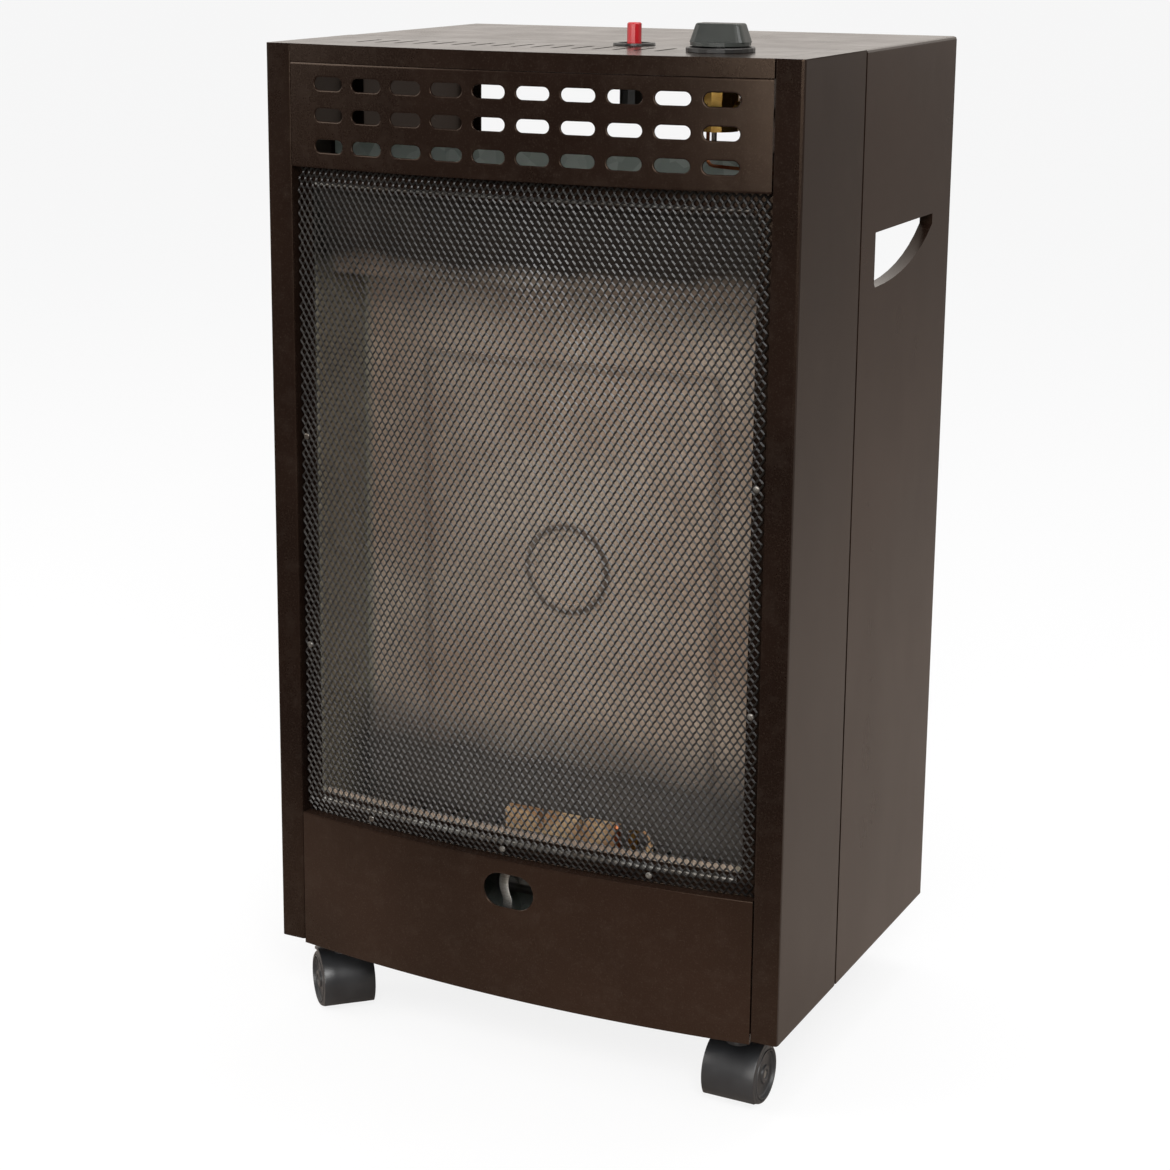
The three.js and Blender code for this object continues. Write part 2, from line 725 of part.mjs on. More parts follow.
// The hand-hold: a level top edge, a square front end and a lower edge that rises to a narrow rear tip.
function handleOutline(margin) {
  const y0 = SEAM_Y + HANDLE_FROM_SEAM - margin;
  const y1 = SEAM_Y + HANDLE_FROM_SEAM + HANDLE_LENGTH + margin;
  const top = TOP_Z - HANDLE_BELOW_TOP + margin;
  const bottom = top - HANDLE_HEIGHT - 2 * margin;
  const tip = top - HANDLE_TIP - margin;
  const lower = new THREE.QuadraticBezierCurve(
    point(y1, tip), point(y1 - HANDLE_LENGTH / 3, bottom), point(y0 + BEND, bottom));
  const rest = lower.getPoints(HANDLE_STEPS);
  const outline = [point(y0, bottom + BEND), point(y0, top), point(y1, top), ...rest];
  return new THREE.Shape(outline);
}

function rearShell() {
  const seamY = SEAM_Y + CLEAR / 2;
  const frameOf = (outset, inset) => {
    const outer = [
      point(-HALF_WIDTH, BASE_Z), point(-HALF_WIDTH, TOP_Z),
      point(HALF_WIDTH, TOP_Z), point(HALF_WIDTH, BASE_Z),
    ];
    return sheetSection(beside(rounded(outer, BEND), -outset), -inset);
  };
  const skin = alongY(frameOf(0, SHEET), seamY, REAR_Y);
  const frontFlange = alongY(frameOf(0, SEAM_FLANGE), seamY, seamY + SHEET);
  const stopFlange = alongY(frameOf(0, SEAM_FLANGE), STOP_Y - SHEET, STOP_Y);
  const relief = block(
    HALF_WIDTH - SEAM_FLANGE - SHEET, INNER_HALF, seamY - SHEET, STOP_Y + SHEET,
    BASE_Z - SHEET, TRAY_RIM_Z + CLEAR);
  const lip = alongX(handleOutline(SHEET), HALF_WIDTH - HANDLE_LIP, HALF_WIDTH);
  const hole = alongX(handleOutline(0), HALF_WIDTH - 2 * HANDLE_LIP, HALF_WIDTH + HANDLE_LIP);
  const shell = join(skin, frontFlange, stopFlange, lip, mirrored(lip));
  return cut(shell, relief, mirrored(relief), hole, mirrored(hole));
}

function rearCover() {
  const half = INNER_HALF - CLEAR;
  const z0 = BASE_Z + CLEAR;
  const z1 = BASE_Z + COVER_HEIGHT;
  const plate = block(-half, half, REAR_Y - SHEET, REAR_Y, z0, z1);
  const sideRim = block(half - SHEET, half, COVER_RIM_Y, REAR_Y, z0, z1);
  const topRim = block(-half, half, COVER_RIM_Y, REAR_Y, z1 - SHEET, z1);
  const hookZ = TRAY_RIM_Z + COVER_LIFT_GAP;
  const hookFrontY = TRAY_REAR_Y - SHEET - CLEAR - SHEET;
  const hookLine = [
    point(REAR_Y - SHEET / 2, hookZ),
    point(hookFrontY, hookZ),
    point(hookFrontY, hookZ - COVER_HOOK_DROP),
  ];
  const hooks = [-1, 1].map((side) => {
    const x = (side * COVER_HOOK_SPACING) / 2;
    const section = sheetSection(hookLine, -SHEET);
    return alongX(section, x - COVER_HOOK_WIDTH / 2, x + COVER_HOOK_WIDTH / 2);
  });
  const louvres = [];
  for (const side of [-1, 1]) {
    for (let k = 0; k < LOUVRE_COUNT; k += 1) {
      const outline = stadium(LOUVRE_LENGTH, LOUVRE_HEIGHT, SLOT_STEPS);
      const louvre = alongY(outline, REAR_Y - 2 * SHEET, REAR_Y + SHEET);
      const z = BASE_Z + LOUVRE_BOTTOM + k * LOUVRE_PITCH;
      louvres.push(louvre.translate(side * LOUVRE_OFFSET, 0, z));
    }
  }
  return cut(join(plate, sideRim, mirrored(sideRim), topRim, ...hooks), together(louvres));
}

// Guard

// A bowed sheet opened by staggered diamonds, whose strands cross as in expanded metal.
function guardMesh() {
  const half = PANEL_HALF - SHEET - CLEAR;
  const sheet = bowStrip(GUARD_INSET, GUARD_THICKNESS, GUARD_BOTTOM_Z, GUARD_TOP_Z, half);
  const pitchX = (2 * (half - GUARD_EDGE)) / GUARD_COLUMNS;
  const pitchZ = (GUARD_TOP_Z - GUARD_BOTTOM_Z - 2 * GUARD_EDGE) / (GUARD_ROWS / 2);
  const gaps = [];
  for (let row = 0; row < GUARD_ROWS - 1; row += 1) {
    const shifted = row % 2;
    for (let k = 0; k < GUARD_COLUMNS - shifted; k += 1) {
      const x = (k + (1 + shifted) / 2 - GUARD_COLUMNS / 2) * pitchX;
      const z = GUARD_BOTTOM_Z + GUARD_EDGE + ((row + 1) * pitchZ) / 2;
      const w = (pitchX - GUARD_STRAND) / 2;
      const h = (pitchZ - GUARD_STRAND) / 2;
      const diamond = new THREE.Shape([point(w, 0), point(0, h), point(-w, 0), point(0, -h)]);
      const y = bowY(x, GUARD_INSET);
      gaps.push(alongY(diamond, y - GUARD_EDGE, y + GUARD_EDGE).translate(x, 0, z));
    }
  }
  return cut(sheet, together(gaps));
}

function guardFrame() {
  const sheet = bowStrip(FRAME_INSET, SHEET, GUARD_BOTTOM_Z, GUARD_TOP_Z);
  const windowHalf = PANEL_HALF - FRAME_STRIP;
  const depth = BOW + FRAME_INSET + 2 * SHEET;
  return cut(sheet, block(
    -windowHalf, windowHalf, FRONT_Y - depth, FRONT_Y + depth,
    GUARD_BOTTOM_Z + FRAME_BAND, GUARD_TOP_Z - FRAME_BAND));
}

// Firebox

function fireboxSide(side) {
  const corners = [
    point(PANEL_HALF - CLEAR, BEHIND_FRAME_Y),
    point(FIREBOX_HALF, BEHIND_FRAME_Y),
    point(FIREBOX_HALF, FIREBOX_BACK_Y),
  ];
  const section = sheetSection(rounded(corners, BEND), -SHEET);
  const wall = alongZ(section, FIREBOX_FLOOR_Z + CLEAR, GUARD_TOP_Z);
  return side < 0 ? mirrored(wall) : wall;
}

function ridge(outer, inner) {
  const shape = new THREE.Shape(outer);
  shape.holes.push(new THREE.Path(inner));
  return alongY(shape, FIREBOX_BACK_Y + CLEAR - EMBOSS, FIREBOX_BACK_Y + CLEAR + SHEET / 2);
}

function roundedFrame(halfWidth, halfHeight, radius, x, z) {
  const corners = [
    point(0, -halfHeight), point(halfWidth, -halfHeight), point(halfWidth, halfHeight),
    point(-halfWidth, halfHeight), point(-halfWidth, -halfHeight), point(0, -halfHeight),
  ];
  const line = rounded(corners, radius, CORNER_STEPS).slice(0, -1);
  return line.map((p) => p.add(point(x, z)));
}

function circleLine(radius, x, z) {
  const circle = new THREE.Path().absarc(x, z, radius, 0, 2 * Math.PI);
  return circle.getPoints(EMBOSS_SIDES).slice(0, -1);
}

function fireboxBack() {
  const y = FIREBOX_BACK_Y + CLEAR;
  const half = FIREBOX_HALF + SHEET;
  const z0 = FIREBOX_FLOOR_Z - SHEET;
  const middleZ = (FIREBOX_FLOOR_Z + HOOD_EDGE_Z) / 2 - EMBOSS_WIDTH;
  const plate = block(-half, half, y, y + SHEET, z0, BACK_TOP_Z);
  const frameHeight = EMBOSS_FRAME_HEIGHT / 2;
  return join(
    plate,
    ridge(
      roundedFrame(EMBOSS_FRAME_HALF, frameHeight, EMBOSS_CORNER, 0, middleZ),
      roundedFrame(
        EMBOSS_FRAME_HALF - EMBOSS_WIDTH, frameHeight - EMBOSS_WIDTH, EMBOSS_CORNER, 0, middleZ)),
    ridge(
      circleLine(EMBOSS_RADIUS, 0, middleZ),
      circleLine(EMBOSS_RADIUS - EMBOSS_WIDTH, 0, middleZ)));
}

function fireboxHood() {
  const corners = [
    point(BEHIND_FRAME_Y, GUARD_TOP_Z),
    point(BEHIND_FRAME_Y, GUARD_TOP_Z - FRAME_BAND),
    point(HOOD_EDGE_Y, HOOD_EDGE_Z),
    point(HOOD_REAR_Y, HOOD_EDGE_Z + HOOD_RISE),
  ];
  const half = FIREBOX_HALF - CLEAR;
  return alongX(sheetSection(rounded(corners, BEND), SHEET), -half, half);
}

function fireboxFloor() {
  const half = PANEL_HALF - CLEAR;
  const z = FIREBOX_FLOOR_Z;
  const plate = bowPlate(FRAME_INSET + SHEET + CLEAR, FIREBOX_BACK_Y, z - SHEET, z, half);
  const lipInset = FRAME_INSET + SHEET + CLEAR;
  const lipHalf = FIREBOX_HALF - CLEAR;
  const lip = bowStrip(lipInset, SHEET, z - SHEET, z + FLOOR_LIP, lipHalf);
  const gap = BURNER_WIDTH / 2 + CLEAR;
  const reach = BURNER_LENGTH / 2 + CLEAR;
  const burnerHole = block(-reach, reach, BURNER_Y - gap, BURNER_Y + gap, z - 2 * SHEET, z + SHEET);
  const pilotHoles = [-1, 0].map((place) =>
    rod(holeRadius(PILOT_RADIUS), z - 2 * SHEET, z + SHEET)
      .translate(PILOT_X + place * PILOT_SPACING, PILOT_Y, 0));
  return cut(join(plate, lip), burnerHole, together(pilotHoles));
}

function heatShield() {
  const z0 = TRAY_FLOOR_Z + CLEAR;
  const corners = [
    point(SHIELD_Y, z0),
    point(SHIELD_Y, SHIELD_TOP_Z),
    point(SHIELD_Y + SHIELD_FLANGE, SHIELD_TOP_Z),
  ];
  const plate = alongX(sheetSection(rounded(corners, BEND), -SHEET), -SHIELD_HALF, SHIELD_HALF);
  const sideFlange = block(
    SHIELD_HALF - SHEET, SHIELD_HALF, SHIELD_Y, SHIELD_Y + SHIELD_FLANGE, z0, SHIELD_TOP_Z - SHEET);
  return join(plate, sideFlange, mirrored(sideFlange));
}

// Burner

function burnerBox() {
  const half = BURNER_LENGTH / 2;
  const wide = BURNER_WIDTH / 2;
  const top = FIREBOX_FLOOR_Z + CLEAR + SHEET;
  const boxOf = (outset, z0, z1) =>
    block(-half - outset, half + outset, -wide - outset, wide + outset, z0, z1);
  const outer = boxOf(0, BURNER_BOTTOM_Z, top);
  const flange = boxOf(BURNER_FLANGE, top - SHEET, top);
  const hollow = boxOf(-SHEET, BURNER_BOTTOM_Z + SHEET, top + SHEET);
  const feed = rod(MIXER_RADIUS - MIXER_WALL, BURNER_BOTTOM_Z - SHEET, BURNER_BOTTOM_Z + 2 * SHEET);
  const box = cut(join(outer, flange), hollow, feed.translate(mixerNeckX(), 0, 0));
  return box.translate(0, BURNER_Y, 0);
}

function burnerCover() {
  const half = BURNER_LENGTH / 2 + BURNER_FLANGE;
  const wide = BURNER_WIDTH / 2 + BURNER_FLANGE;
  const z0 = FIREBOX_FLOOR_Z + SHEET + 2 * CLEAR;
  const line = rounded([
    point(-wide, z0 + SHEET), point(-BURNER_WIDTH / 2, z0 + SHEET),
    point(-BURNER_WIDTH / 3, BURNER_TOP_Z), point(BURNER_WIDTH / 3, BURNER_TOP_Z),
    point(BURNER_WIDTH / 2, z0 + SHEET), point(wide, z0 + SHEET),
  ], BEND, SMALL_BEND_STEPS);
  const cover = alongX(sheetSection(line, -SHEET), -half, half);
  const pitch = BURNER_LENGTH / PORT_COUNT;
  const ports = [];
  for (let k = 0; k < PORT_COUNT; k += 1) {
    const x = (k - (PORT_COUNT - 1) / 2) * pitch;
    ports.push(block(
      x - PORT_WIDTH / 2, x + PORT_WIDTH / 2, -PORT_LENGTH / 2, PORT_LENGTH / 2,
      BURNER_TOP_Z - 2 * SHEET, BURNER_TOP_Z + SHEET));
  }
  return cut(cover, together(ports)).translate(0, BURNER_Y, 0);
}

// Upright teeth on one base strip.
function ceramicBlocks() {
  const half = CERAMIC_LENGTH / 2;
  const thick = CERAMIC_THICKNESS / 2;
  const z0 = BURNER_TOP_Z + CLEAR;
  const endX = CERAMIC_START_X + (CERAMIC_COUNT - 1) * CERAMIC_PITCH;
  const strip = block(CERAMIC_START_X - half, endX + half, -thick, thick, z0, z0 + CERAMIC_BASE);
  const teeth = [];
  for (let k = 0; k < CERAMIC_COUNT; k += 1) {
    const x = CERAMIC_START_X + k * CERAMIC_PITCH;
    teeth.push(block(x - half, x + half, -thick, thick, z0, z0 + CERAMIC_HEIGHT));
  }
  return join(strip, together(teeth)).translate(0, BURNER_Y, 0);
}

function mixerNeckX() {
  return MIXER_MOUTH_X - MIXER_LENGTH + MIXER_RADIUS;
}

function mixingTube() {
  const r = MIXER_RADIUS;
  const wall = MIXER_WALL;
  const flare = MIXER_MOUTH_RADIUS - r;
  const end = MIXER_MOUTH_X - MIXER_LENGTH;
  const outer = turnedX([
    [0, end], [r, end], [r, MIXER_MOUTH_X - 3 * flare],
    [MIXER_MOUTH_RADIUS, MIXER_MOUTH_X], [0, MIXER_MOUTH_X],
  ]).translate(0, BURNER_Y, MIXER_Z);
  const bore = turnedX([
    [0, end + wall], [r - wall, end + wall], [r - wall, MIXER_MOUTH_X - 3 * flare],
    [MIXER_MOUTH_RADIUS - wall, MIXER_MOUTH_X + wall], [0, MIXER_MOUTH_X + wall],
  ]).translate(0, BURNER_Y, MIXER_Z);
  const neckTop = BURNER_BOTTOM_Z - CLEAR;
  const neck = rod(r, MIXER_Z, neckTop).translate(mixerNeckX(), BURNER_Y, 0);
  const neckBore = rod(r - wall, MIXER_Z, neckTop + wall).translate(mixerNeckX(), BURNER_Y, 0);
  return cut(join(outer, neck), bore, neckBore);
}

function injectorHolder() {
  const x0 = MIXER_MOUTH_X + INJECTOR_AIR_GAP + INJECTOR_NOZZLE;
  const half = INJECTOR_BLOCK / 2;
  const body = block(x0, x0 + INJECTOR_BLOCK, -half, half, -half, half);
  const nozzle = turnedX([
    [0, x0 - INJECTOR_NOZZLE], [NOZZLE_TIP_RADIUS, x0 - INJECTOR_NOZZLE],
    [NOZZLE_RADIUS, x0 - INJECTOR_NOZZLE / 2], [NOZZLE_ROOT_RADIUS, x0 + SHEET], [0, x0 + SHEET],
  ]);
  return join(body, nozzle).translate(0, BURNER_Y, MIXER_Z);
}

// Pilot

function pilotBracket() {
  const half = PILOT_SPACING + PILOT_RADIUS + 2 * SHEET;
  const reach = PILOT_BRACKET_DEPTH / 2;
  const z0 = FIREBOX_FLOOR_Z + CLEAR;
  const line = rounded([
    point(-half - PILOT_RADIUS, z0 + SHEET), point(-half, z0 + SHEET), point(-half, PILOT_SHELF_Z),
    point(half, PILOT_SHELF_Z), point(half, z0 + SHEET), point(half + PILOT_RADIUS, z0 + SHEET),
  ], BEND, SMALL_BEND_STEPS);
  const shelf = alongY(sheetSection(line, -SHEET), -reach, reach);
  const holes = [PROBE_RADIUS, PILOT_RADIUS, ELECTRODE_RADIUS].map((radius, place) =>
    rod(holeRadius(radius), PILOT_FOOT_Z, PILOT_SHELF_Z + SHEET)
      .translate((place - 1) * PILOT_SPACING, 0, 0));
  return cut(shelf, together(holes)).translate(PILOT_X, PILOT_Y, 0);
}

function pilotBurner() {
  const z1 = PILOT_SHELF_Z + CLEAR;
  const z2 = PILOT_FOOT_Z + PILOT_HEIGHT;
  const r = PILOT_RADIUS;
  const collar = r + PILOT_COLLAR;
  return turned([
    [0, PILOT_FOOT_Z], [r, PILOT_FOOT_Z], [r, z1], [collar, z1],
    [collar, z1 + PILOT_COLLAR_HEIGHT], [r, z1 + PILOT_COLLAR_HEIGHT], [r, z2],
    [r - PILOT_WALL, z2], [r - PILOT_WALL, z2 - PILOT_BORE], [0, z2 - PILOT_BORE],
  ]).translate(PILOT_X, PILOT_Y, 0);
}

function thermocoupleProbe() {
  const z1 = PILOT_SHELF_Z + CLEAR;
  const z2 = z1 + PILOT_HEIGHT;
  const r = PROBE_RADIUS;
  const collar = r + PROBE_COLLAR;
  return turned([
    [0, PILOT_FOOT_Z], [r, PILOT_FOOT_Z], [r, z1], [collar, z1],
    [collar, z1 + PROBE_COLLAR_HEIGHT], [r, z1 + PROBE_COLLAR_HEIGHT],
    [r, z2 - PROBE_TIP], [r - PROBE_TAPER, z2], [0, z2],
  ]).translate(PILOT_X - PILOT_SPACING, PILOT_Y, 0);
}

function sparkElectrode() {
  const z1 = PILOT_SHELF_Z + CLEAR;
  const z2 = z1 + PILOT_HEIGHT / 2;
  const r = ELECTRODE_RADIUS;
  const collar = r + ELECTRODE_COLLAR;
  const sleeve = turned([
    [0, PILOT_FOOT_Z], [r, PILOT_FOOT_Z], [r, z1], [collar, z1],
    [collar, z1 + ELECTRODE_COLLAR_HEIGHT], [r, z1 + ELECTRODE_COLLAR_HEIGHT],
    [r - ELECTRODE_TAPER, z2], [0, z2],
  ]);
  const wire = pipe([
    [0, 0, z2 - ELECTRODE_WIRE],
    [0, 0, z2 + SPARK_RISE],
    [-SPARK_REACH, 0, z2 + SPARK_RISE + SPARK_TIP],
  ], ELECTRODE_WIRE, 2 * ELECTRODE_WIRE);
  return join(sleeve, wire).translate(PILOT_X + PILOT_SPACING, PILOT_Y, 0);
}

// Gas tap and knob

function tapBracket() {
  const half = BRACKET_LENGTH / 2;
  const foot = half + BRACKET_FOOT;
  const z0 = UNDER_TOP_Z - CLEAR;
  const line = rounded([
    point(-foot, z0), point(-half, z0), point(-half, TAP_TOP_Z + CLEAR + SHEET),
    point(half, TAP_TOP_Z + CLEAR + SHEET), point(half, z0), point(foot, z0),
  ], BEND, SMALL_BEND_STEPS);
  const channel = alongY(sheetSection(line, -SHEET), -half, half);
  const hole = rod(holeRadius(TAP_NECK_RADIUS), TAP_TOP_Z - 2 * SHEET, TAP_TOP_Z + 3 * SHEET);
  return cut(channel, hole).translate(KNOB_X, KNOB_Y, 0);
}

function tapBody() {
  const bore = holeRadius(PLUG_RADIUS);
  const top = TAP_TOP_Z + TAP_NECK_LENGTH;
  const barrel = turned([
    [0, TAP_BOTTOM_Z], [TAP_RADIUS, TAP_BOTTOM_Z], [TAP_RADIUS, TAP_TOP_Z],
    [TAP_NECK_RADIUS, TAP_TOP_Z], [TAP_NECK_RADIUS, top],
    [bore, top], [bore, TAP_BOTTOM_Z + TAP_FLOOR], [0, TAP_BOTTOM_Z + TAP_FLOOR],
  ]);
  const root = TAP_RADIUS - PORT_ROOT;
  const rearBoss = alongY(circleShape(INLET_RADIUS + PORT_WALL), root, TAP_RADIUS + PORT_BOSS);
  const sideBoss = alongX(circleShape(BURNER_PIPE_RADIUS + PORT_WALL), root, TAP_RADIUS + PORT_BOSS);
  const bosses = [rearBoss, sideBoss].map((boss) => boss.translate(0, 0, TAP_PORT_Z));
  return join(barrel, ...bosses).translate(KNOB_X, KNOB_Y, 0);
}

function circleShape(radius) {
  const shape = new THREE.Shape();
  shape.absarc(0, 0, radius, 0, 2 * Math.PI);
  return shape;
}

function tapPlug() {
  const z0 = TAP_BOTTOM_Z + TAP_FLOOR + CLEAR;
  const z1 = TAP_TOP_Z + TAP_NECK_LENGTH;
  const bore = holeRadius(SPINDLE_RADIUS);
  const floor = z1 - TAP_HEIGHT / 2;
  return turned([
    [0, z0], [PLUG_RADIUS, z0], [PLUG_RADIUS, z1], [bore, z1], [bore, floor], [0, floor],
  ]).translate(KNOB_X, KNOB_Y, 0);
}

function knobBezel() {
  const inner = holeRadius(KNOB_SKIRT_RADIUS, KNOB_SIDES);
  const hole = holeRadius(SPINDLE_RADIUS + BEZEL_PLAY);
  const z0 = TOP_Z + CLEAR;
  return turned([
    [hole, z0], [KNOB_BASE_RADIUS, z0], [KNOB_BASE_RADIUS, z0 + BEZEL_HEIGHT - BEZEL_EDGE],
    [KNOB_BASE_RADIUS - BEZEL_EDGE, z0 + BEZEL_HEIGHT], [inner, z0 + BEZEL_HEIGHT],
    [inner, z0 + BEZEL_FLOOR], [hole, z0 + BEZEL_FLOOR],
  ], KNOB_SIDES).translate(KNOB_X, KNOB_Y, 0);
}

// A bar grip that narrows upwards, on a round skirt, with its spindle in one piece.
function controlKnob() {
  const z0 = TOP_Z + CLEAR + BEZEL_FLOOR + CLEAR + KNOB_PRESS;
  const z1 = z0 + KNOB_SKIRT_HEIGHT;
  const r = KNOB_SKIRT_RADIUS;
  const skirt = turned([[0, z0], [r, z0], [r, z1], [0, z1]], KNOB_SIDES);
  const bevel = KNOB_BEVEL;
  const outline = roundedFrame(KNOB_LENGTH / 2 - bevel, KNOB_THICKNESS / 2 - bevel, KNOB_CORNER, 0, 0);
  const bar = new THREE.ExtrudeGeometry(new THREE.Shape(outline), {
    depth: KNOB_HEIGHT - bevel, bevelThickness: bevel, bevelSize: bevel, bevelSegments: BEND_STEPS,
  });
  const position = bar.attributes.position;
  for (let i = 0; i < position.count; i += 1) {
    const narrowing = 1 - (KNOB_TAPER * Math.max(position.getZ(i), 0)) / KNOB_HEIGHT;
    position.setX(i, position.getX(i) * narrowing);
    position.setY(i, position.getY(i) * narrowing);
  }
  const spindle = rod(SPINDLE_RADIUS, TAP_TOP_Z + TAP_NECK_LENGTH - SPINDLE_SEAT, z0 + SHEET);
  return join(skirt, bar.translate(0, 0, z1), spindle).translate(KNOB_X, KNOB_Y, 0);
}

// Igniter

function igniterCollar() {
  const bore = holeRadius(BUTTON_RADIUS);
  const z0 = TOP_Z + CLEAR;
  const z1 = z0 + COLLAR_FLANGE;
  const foot = UNDER_TOP_Z - COLLAR_NECK;
  return turned([
    [bore, foot], [COLLAR_NECK_RADIUS, foot], [COLLAR_NECK_RADIUS, z0], [COLLAR_RADIUS, z0],
    [COLLAR_RADIUS - COLLAR_EDGE, z1], [COLLAR_NECK_RADIUS + COLLAR_SLOPE, z1],
    [COLLAR_NECK_RADIUS - COLLAR_SLOPE, TOP_Z - SHEET], [bore, TOP_Z - SHEET],
  ], KNOB_SIDES).translate(IGNITER_X, IGNITER_Y, 0);
}

function igniterBody() {
  const bore = holeRadius(BUTTON_RADIUS);
  const z0 = IGNITER_TOP_Z - IGNITER_LENGTH;
  const floor = SPRING_BOTTOM_Z - CLEAR;
  return turned([
    [0, z0], [IGNITER_RADIUS / 2, z0], [IGNITER_RADIUS / 2, z0 + IGNITER_TERMINAL],
    [IGNITER_RADIUS, z0 + IGNITER_SHOULDER], [IGNITER_RADIUS, IGNITER_TOP_Z],
    [bore, IGNITER_TOP_Z], [bore, floor], [0, floor],
  ]).translate(IGNITER_X, IGNITER_Y, 0);
}

function igniterButton() {
  const z1 = TOP_Z + BUTTON_HEIGHT;
  const r = BUTTON_RADIUS;
  const rim = r - BUTTON_RIM;
  return turned([
    [0, BUTTON_BOTTOM_Z], [r, BUTTON_BOTTOM_Z], [r, z1 - BUTTON_EDGE], [r - BUTTON_EDGE, z1],
    [rim, z1], [rim - BUTTON_SLOPE, z1 - BUTTON_DISH], [0, z1 - BUTTON_DISH],
  ]).translate(IGNITER_X, IGNITER_Y, 0);
}

function igniterSpring() {
  const outer = BUTTON_RADIUS - CLEAR;
  return turned([
    [outer - SPRING_WIRE, SPRING_BOTTOM_Z], [outer, SPRING_BOTTOM_Z],
    [outer, BUTTON_BOTTOM_Z - CLEAR], [outer - SPRING_WIRE, BUTTON_BOTTOM_Z - CLEAR],
  ]).translate(IGNITER_X, IGNITER_Y, 0);
}

// Pipes

function burnerPipe() {
  const startX = KNOB_X + TAP_RADIUS + PORT_BOSS + CLEAR;
  const endX = MIXER_MOUTH_X + INJECTOR_AIR_GAP + INJECTOR_NOZZLE + INJECTOR_BLOCK + CLEAR;
  return pipe([
    [startX, KNOB_Y, TAP_PORT_Z],
    [PIPE_SHAFT_X, KNOB_Y, TAP_PORT_Z],
    [PIPE_SHAFT_X, BURNER_Y, MIXER_Z],
    [endX, BURNER_Y, MIXER_Z],
  ], BURNER_PIPE_RADIUS);
}

function pilotPipe() {
  const y = KNOB_Y - PILOT_PIPE_FORWARD;
  const z0 = FIREBOX_FLOOR_Z - 3 * PIPE_BEND;
  const top = TAP_BOTTOM_Z - CLEAR;
  return pipe([
    [KNOB_X, KNOB_Y - TAP_PORT_OFFSET, top],
    [KNOB_X, KNOB_Y - TAP_PORT_OFFSET, top - PIPE_BEND],
    [PIPE_SHAFT_X, y, top - PIPE_BEND],
    [PIPE_SHAFT_X, y, z0],
    [PILOT_X, y, z0],
    [PILOT_X, PILOT_Y, z0],
    [PILOT_X, PILOT_Y, PILOT_FOOT_Z - CLEAR],
  ], PILOT_PIPE_RADIUS, PIPE_BEND / 2);
}

function thermocoupleLead() {
  const y = KNOB_Y - LEAD_FORWARD;
  const x = PILOT_X - PILOT_SPACING;
  const z0 = FIREBOX_FLOOR_Z - 4 * PIPE_BEND;
  const top = TAP_BOTTOM_Z - CLEAR;
  return pipe([
    [KNOB_X - TAP_PORT_OFFSET, KNOB_Y, top],
    [KNOB_X - TAP_PORT_OFFSET, KNOB_Y, top - 2 * PIPE_BEND],
    [PIPE_SHAFT_X, y, top - 2 * PIPE_BEND],
    [PIPE_SHAFT_X, y, z0],
    [x, y, z0],
    [x, PILOT_Y, z0],
    [x, PILOT_Y, PILOT_FOOT_Z - CLEAR],
  ], LEAD_RADIUS, PIPE_BEND / 2, LEAD_SIDES);
}

function inletPipe() {
  const startY = KNOB_Y + TAP_RADIUS + PORT_BOSS + CLEAR;
  return pipe([
    [KNOB_X, startY, TAP_PORT_Z],
    [KNOB_X, startY + INLET_REACH, TAP_PORT_Z],
    [KNOB_X, startY + INLET_REACH, TAP_PORT_Z - 2 * PIPE_BEND],
  ], INLET_RADIUS);
}

function inletBarb() {
  const z1 = TAP_PORT_Z - 2 * PIPE_BEND - CLEAR;
  const nutZ = z1 - BARB_NUT;
  const z0 = nutZ - BARB_LENGTH;
  const neck = BARB_RADIUS - BARB_NECK;
  const nut = BARB_RADIUS + BARB_NUT_WALL;
  const profile = [[0, z0], [neck, z0]];
  const pitch = (BARB_LENGTH - BARB_TAIL) / BARB_RIDGES;
  for (let k = 0; k < BARB_RIDGES; k += 1) {
    const z = z0 + k * pitch;
    profile.push([neck, z + BARB_ROOT]);
    profile.push([BARB_RADIUS + BARB_RIDGE, z + pitch - 2 * BARB_ROOT]);
    profile.push([neck, z + pitch]);
  }
  profile.push([neck, nutZ], [nut, nutZ], [nut, z1], [0, z1]);
  const y = KNOB_Y + TAP_RADIUS + PORT_BOSS + CLEAR + INLET_REACH;
  return turned(profile).translate(KNOB_X, y, 0);
}

// Casters

function casterPlaces() {
  const x = HALF_WIDTH - CASTER_INSET_X;
  const xRear = HALF_WIDTH - CASTER_INSET_X_REAR;
  const front = FRONT_Y + CASTER_INSET_Y;
  const rear = REAR_Y - CASTER_INSET_REAR;
  return [
    ['front_left', -x, front, CASTER_REST_TURN], ['front_right', x, front, 0],
    ['rear_left', -xRear, rear, 0], ['rear_right', xRear, rear, 0],
  ];
}

function casterSocket() {
  const bore = holeRadius(STEM_RADIUS);
  const flangeZ = BASE_Z - CLEAR;
  const z0 = flangeZ - SOCKET_FLANGE;
  const z1 = STEM_TOP_Z + CLEAR;
  return turned([
    [bore, z0], [SOCKET_FLANGE_RADIUS, z0], [SOCKET_FLANGE_RADIUS, flangeZ], [SOCKET_RADIUS, flangeZ],
    [SOCKET_RADIUS, z1 + SHEET], [0, z1 + SHEET], [0, z1], [bore, z1],
  ]);
}

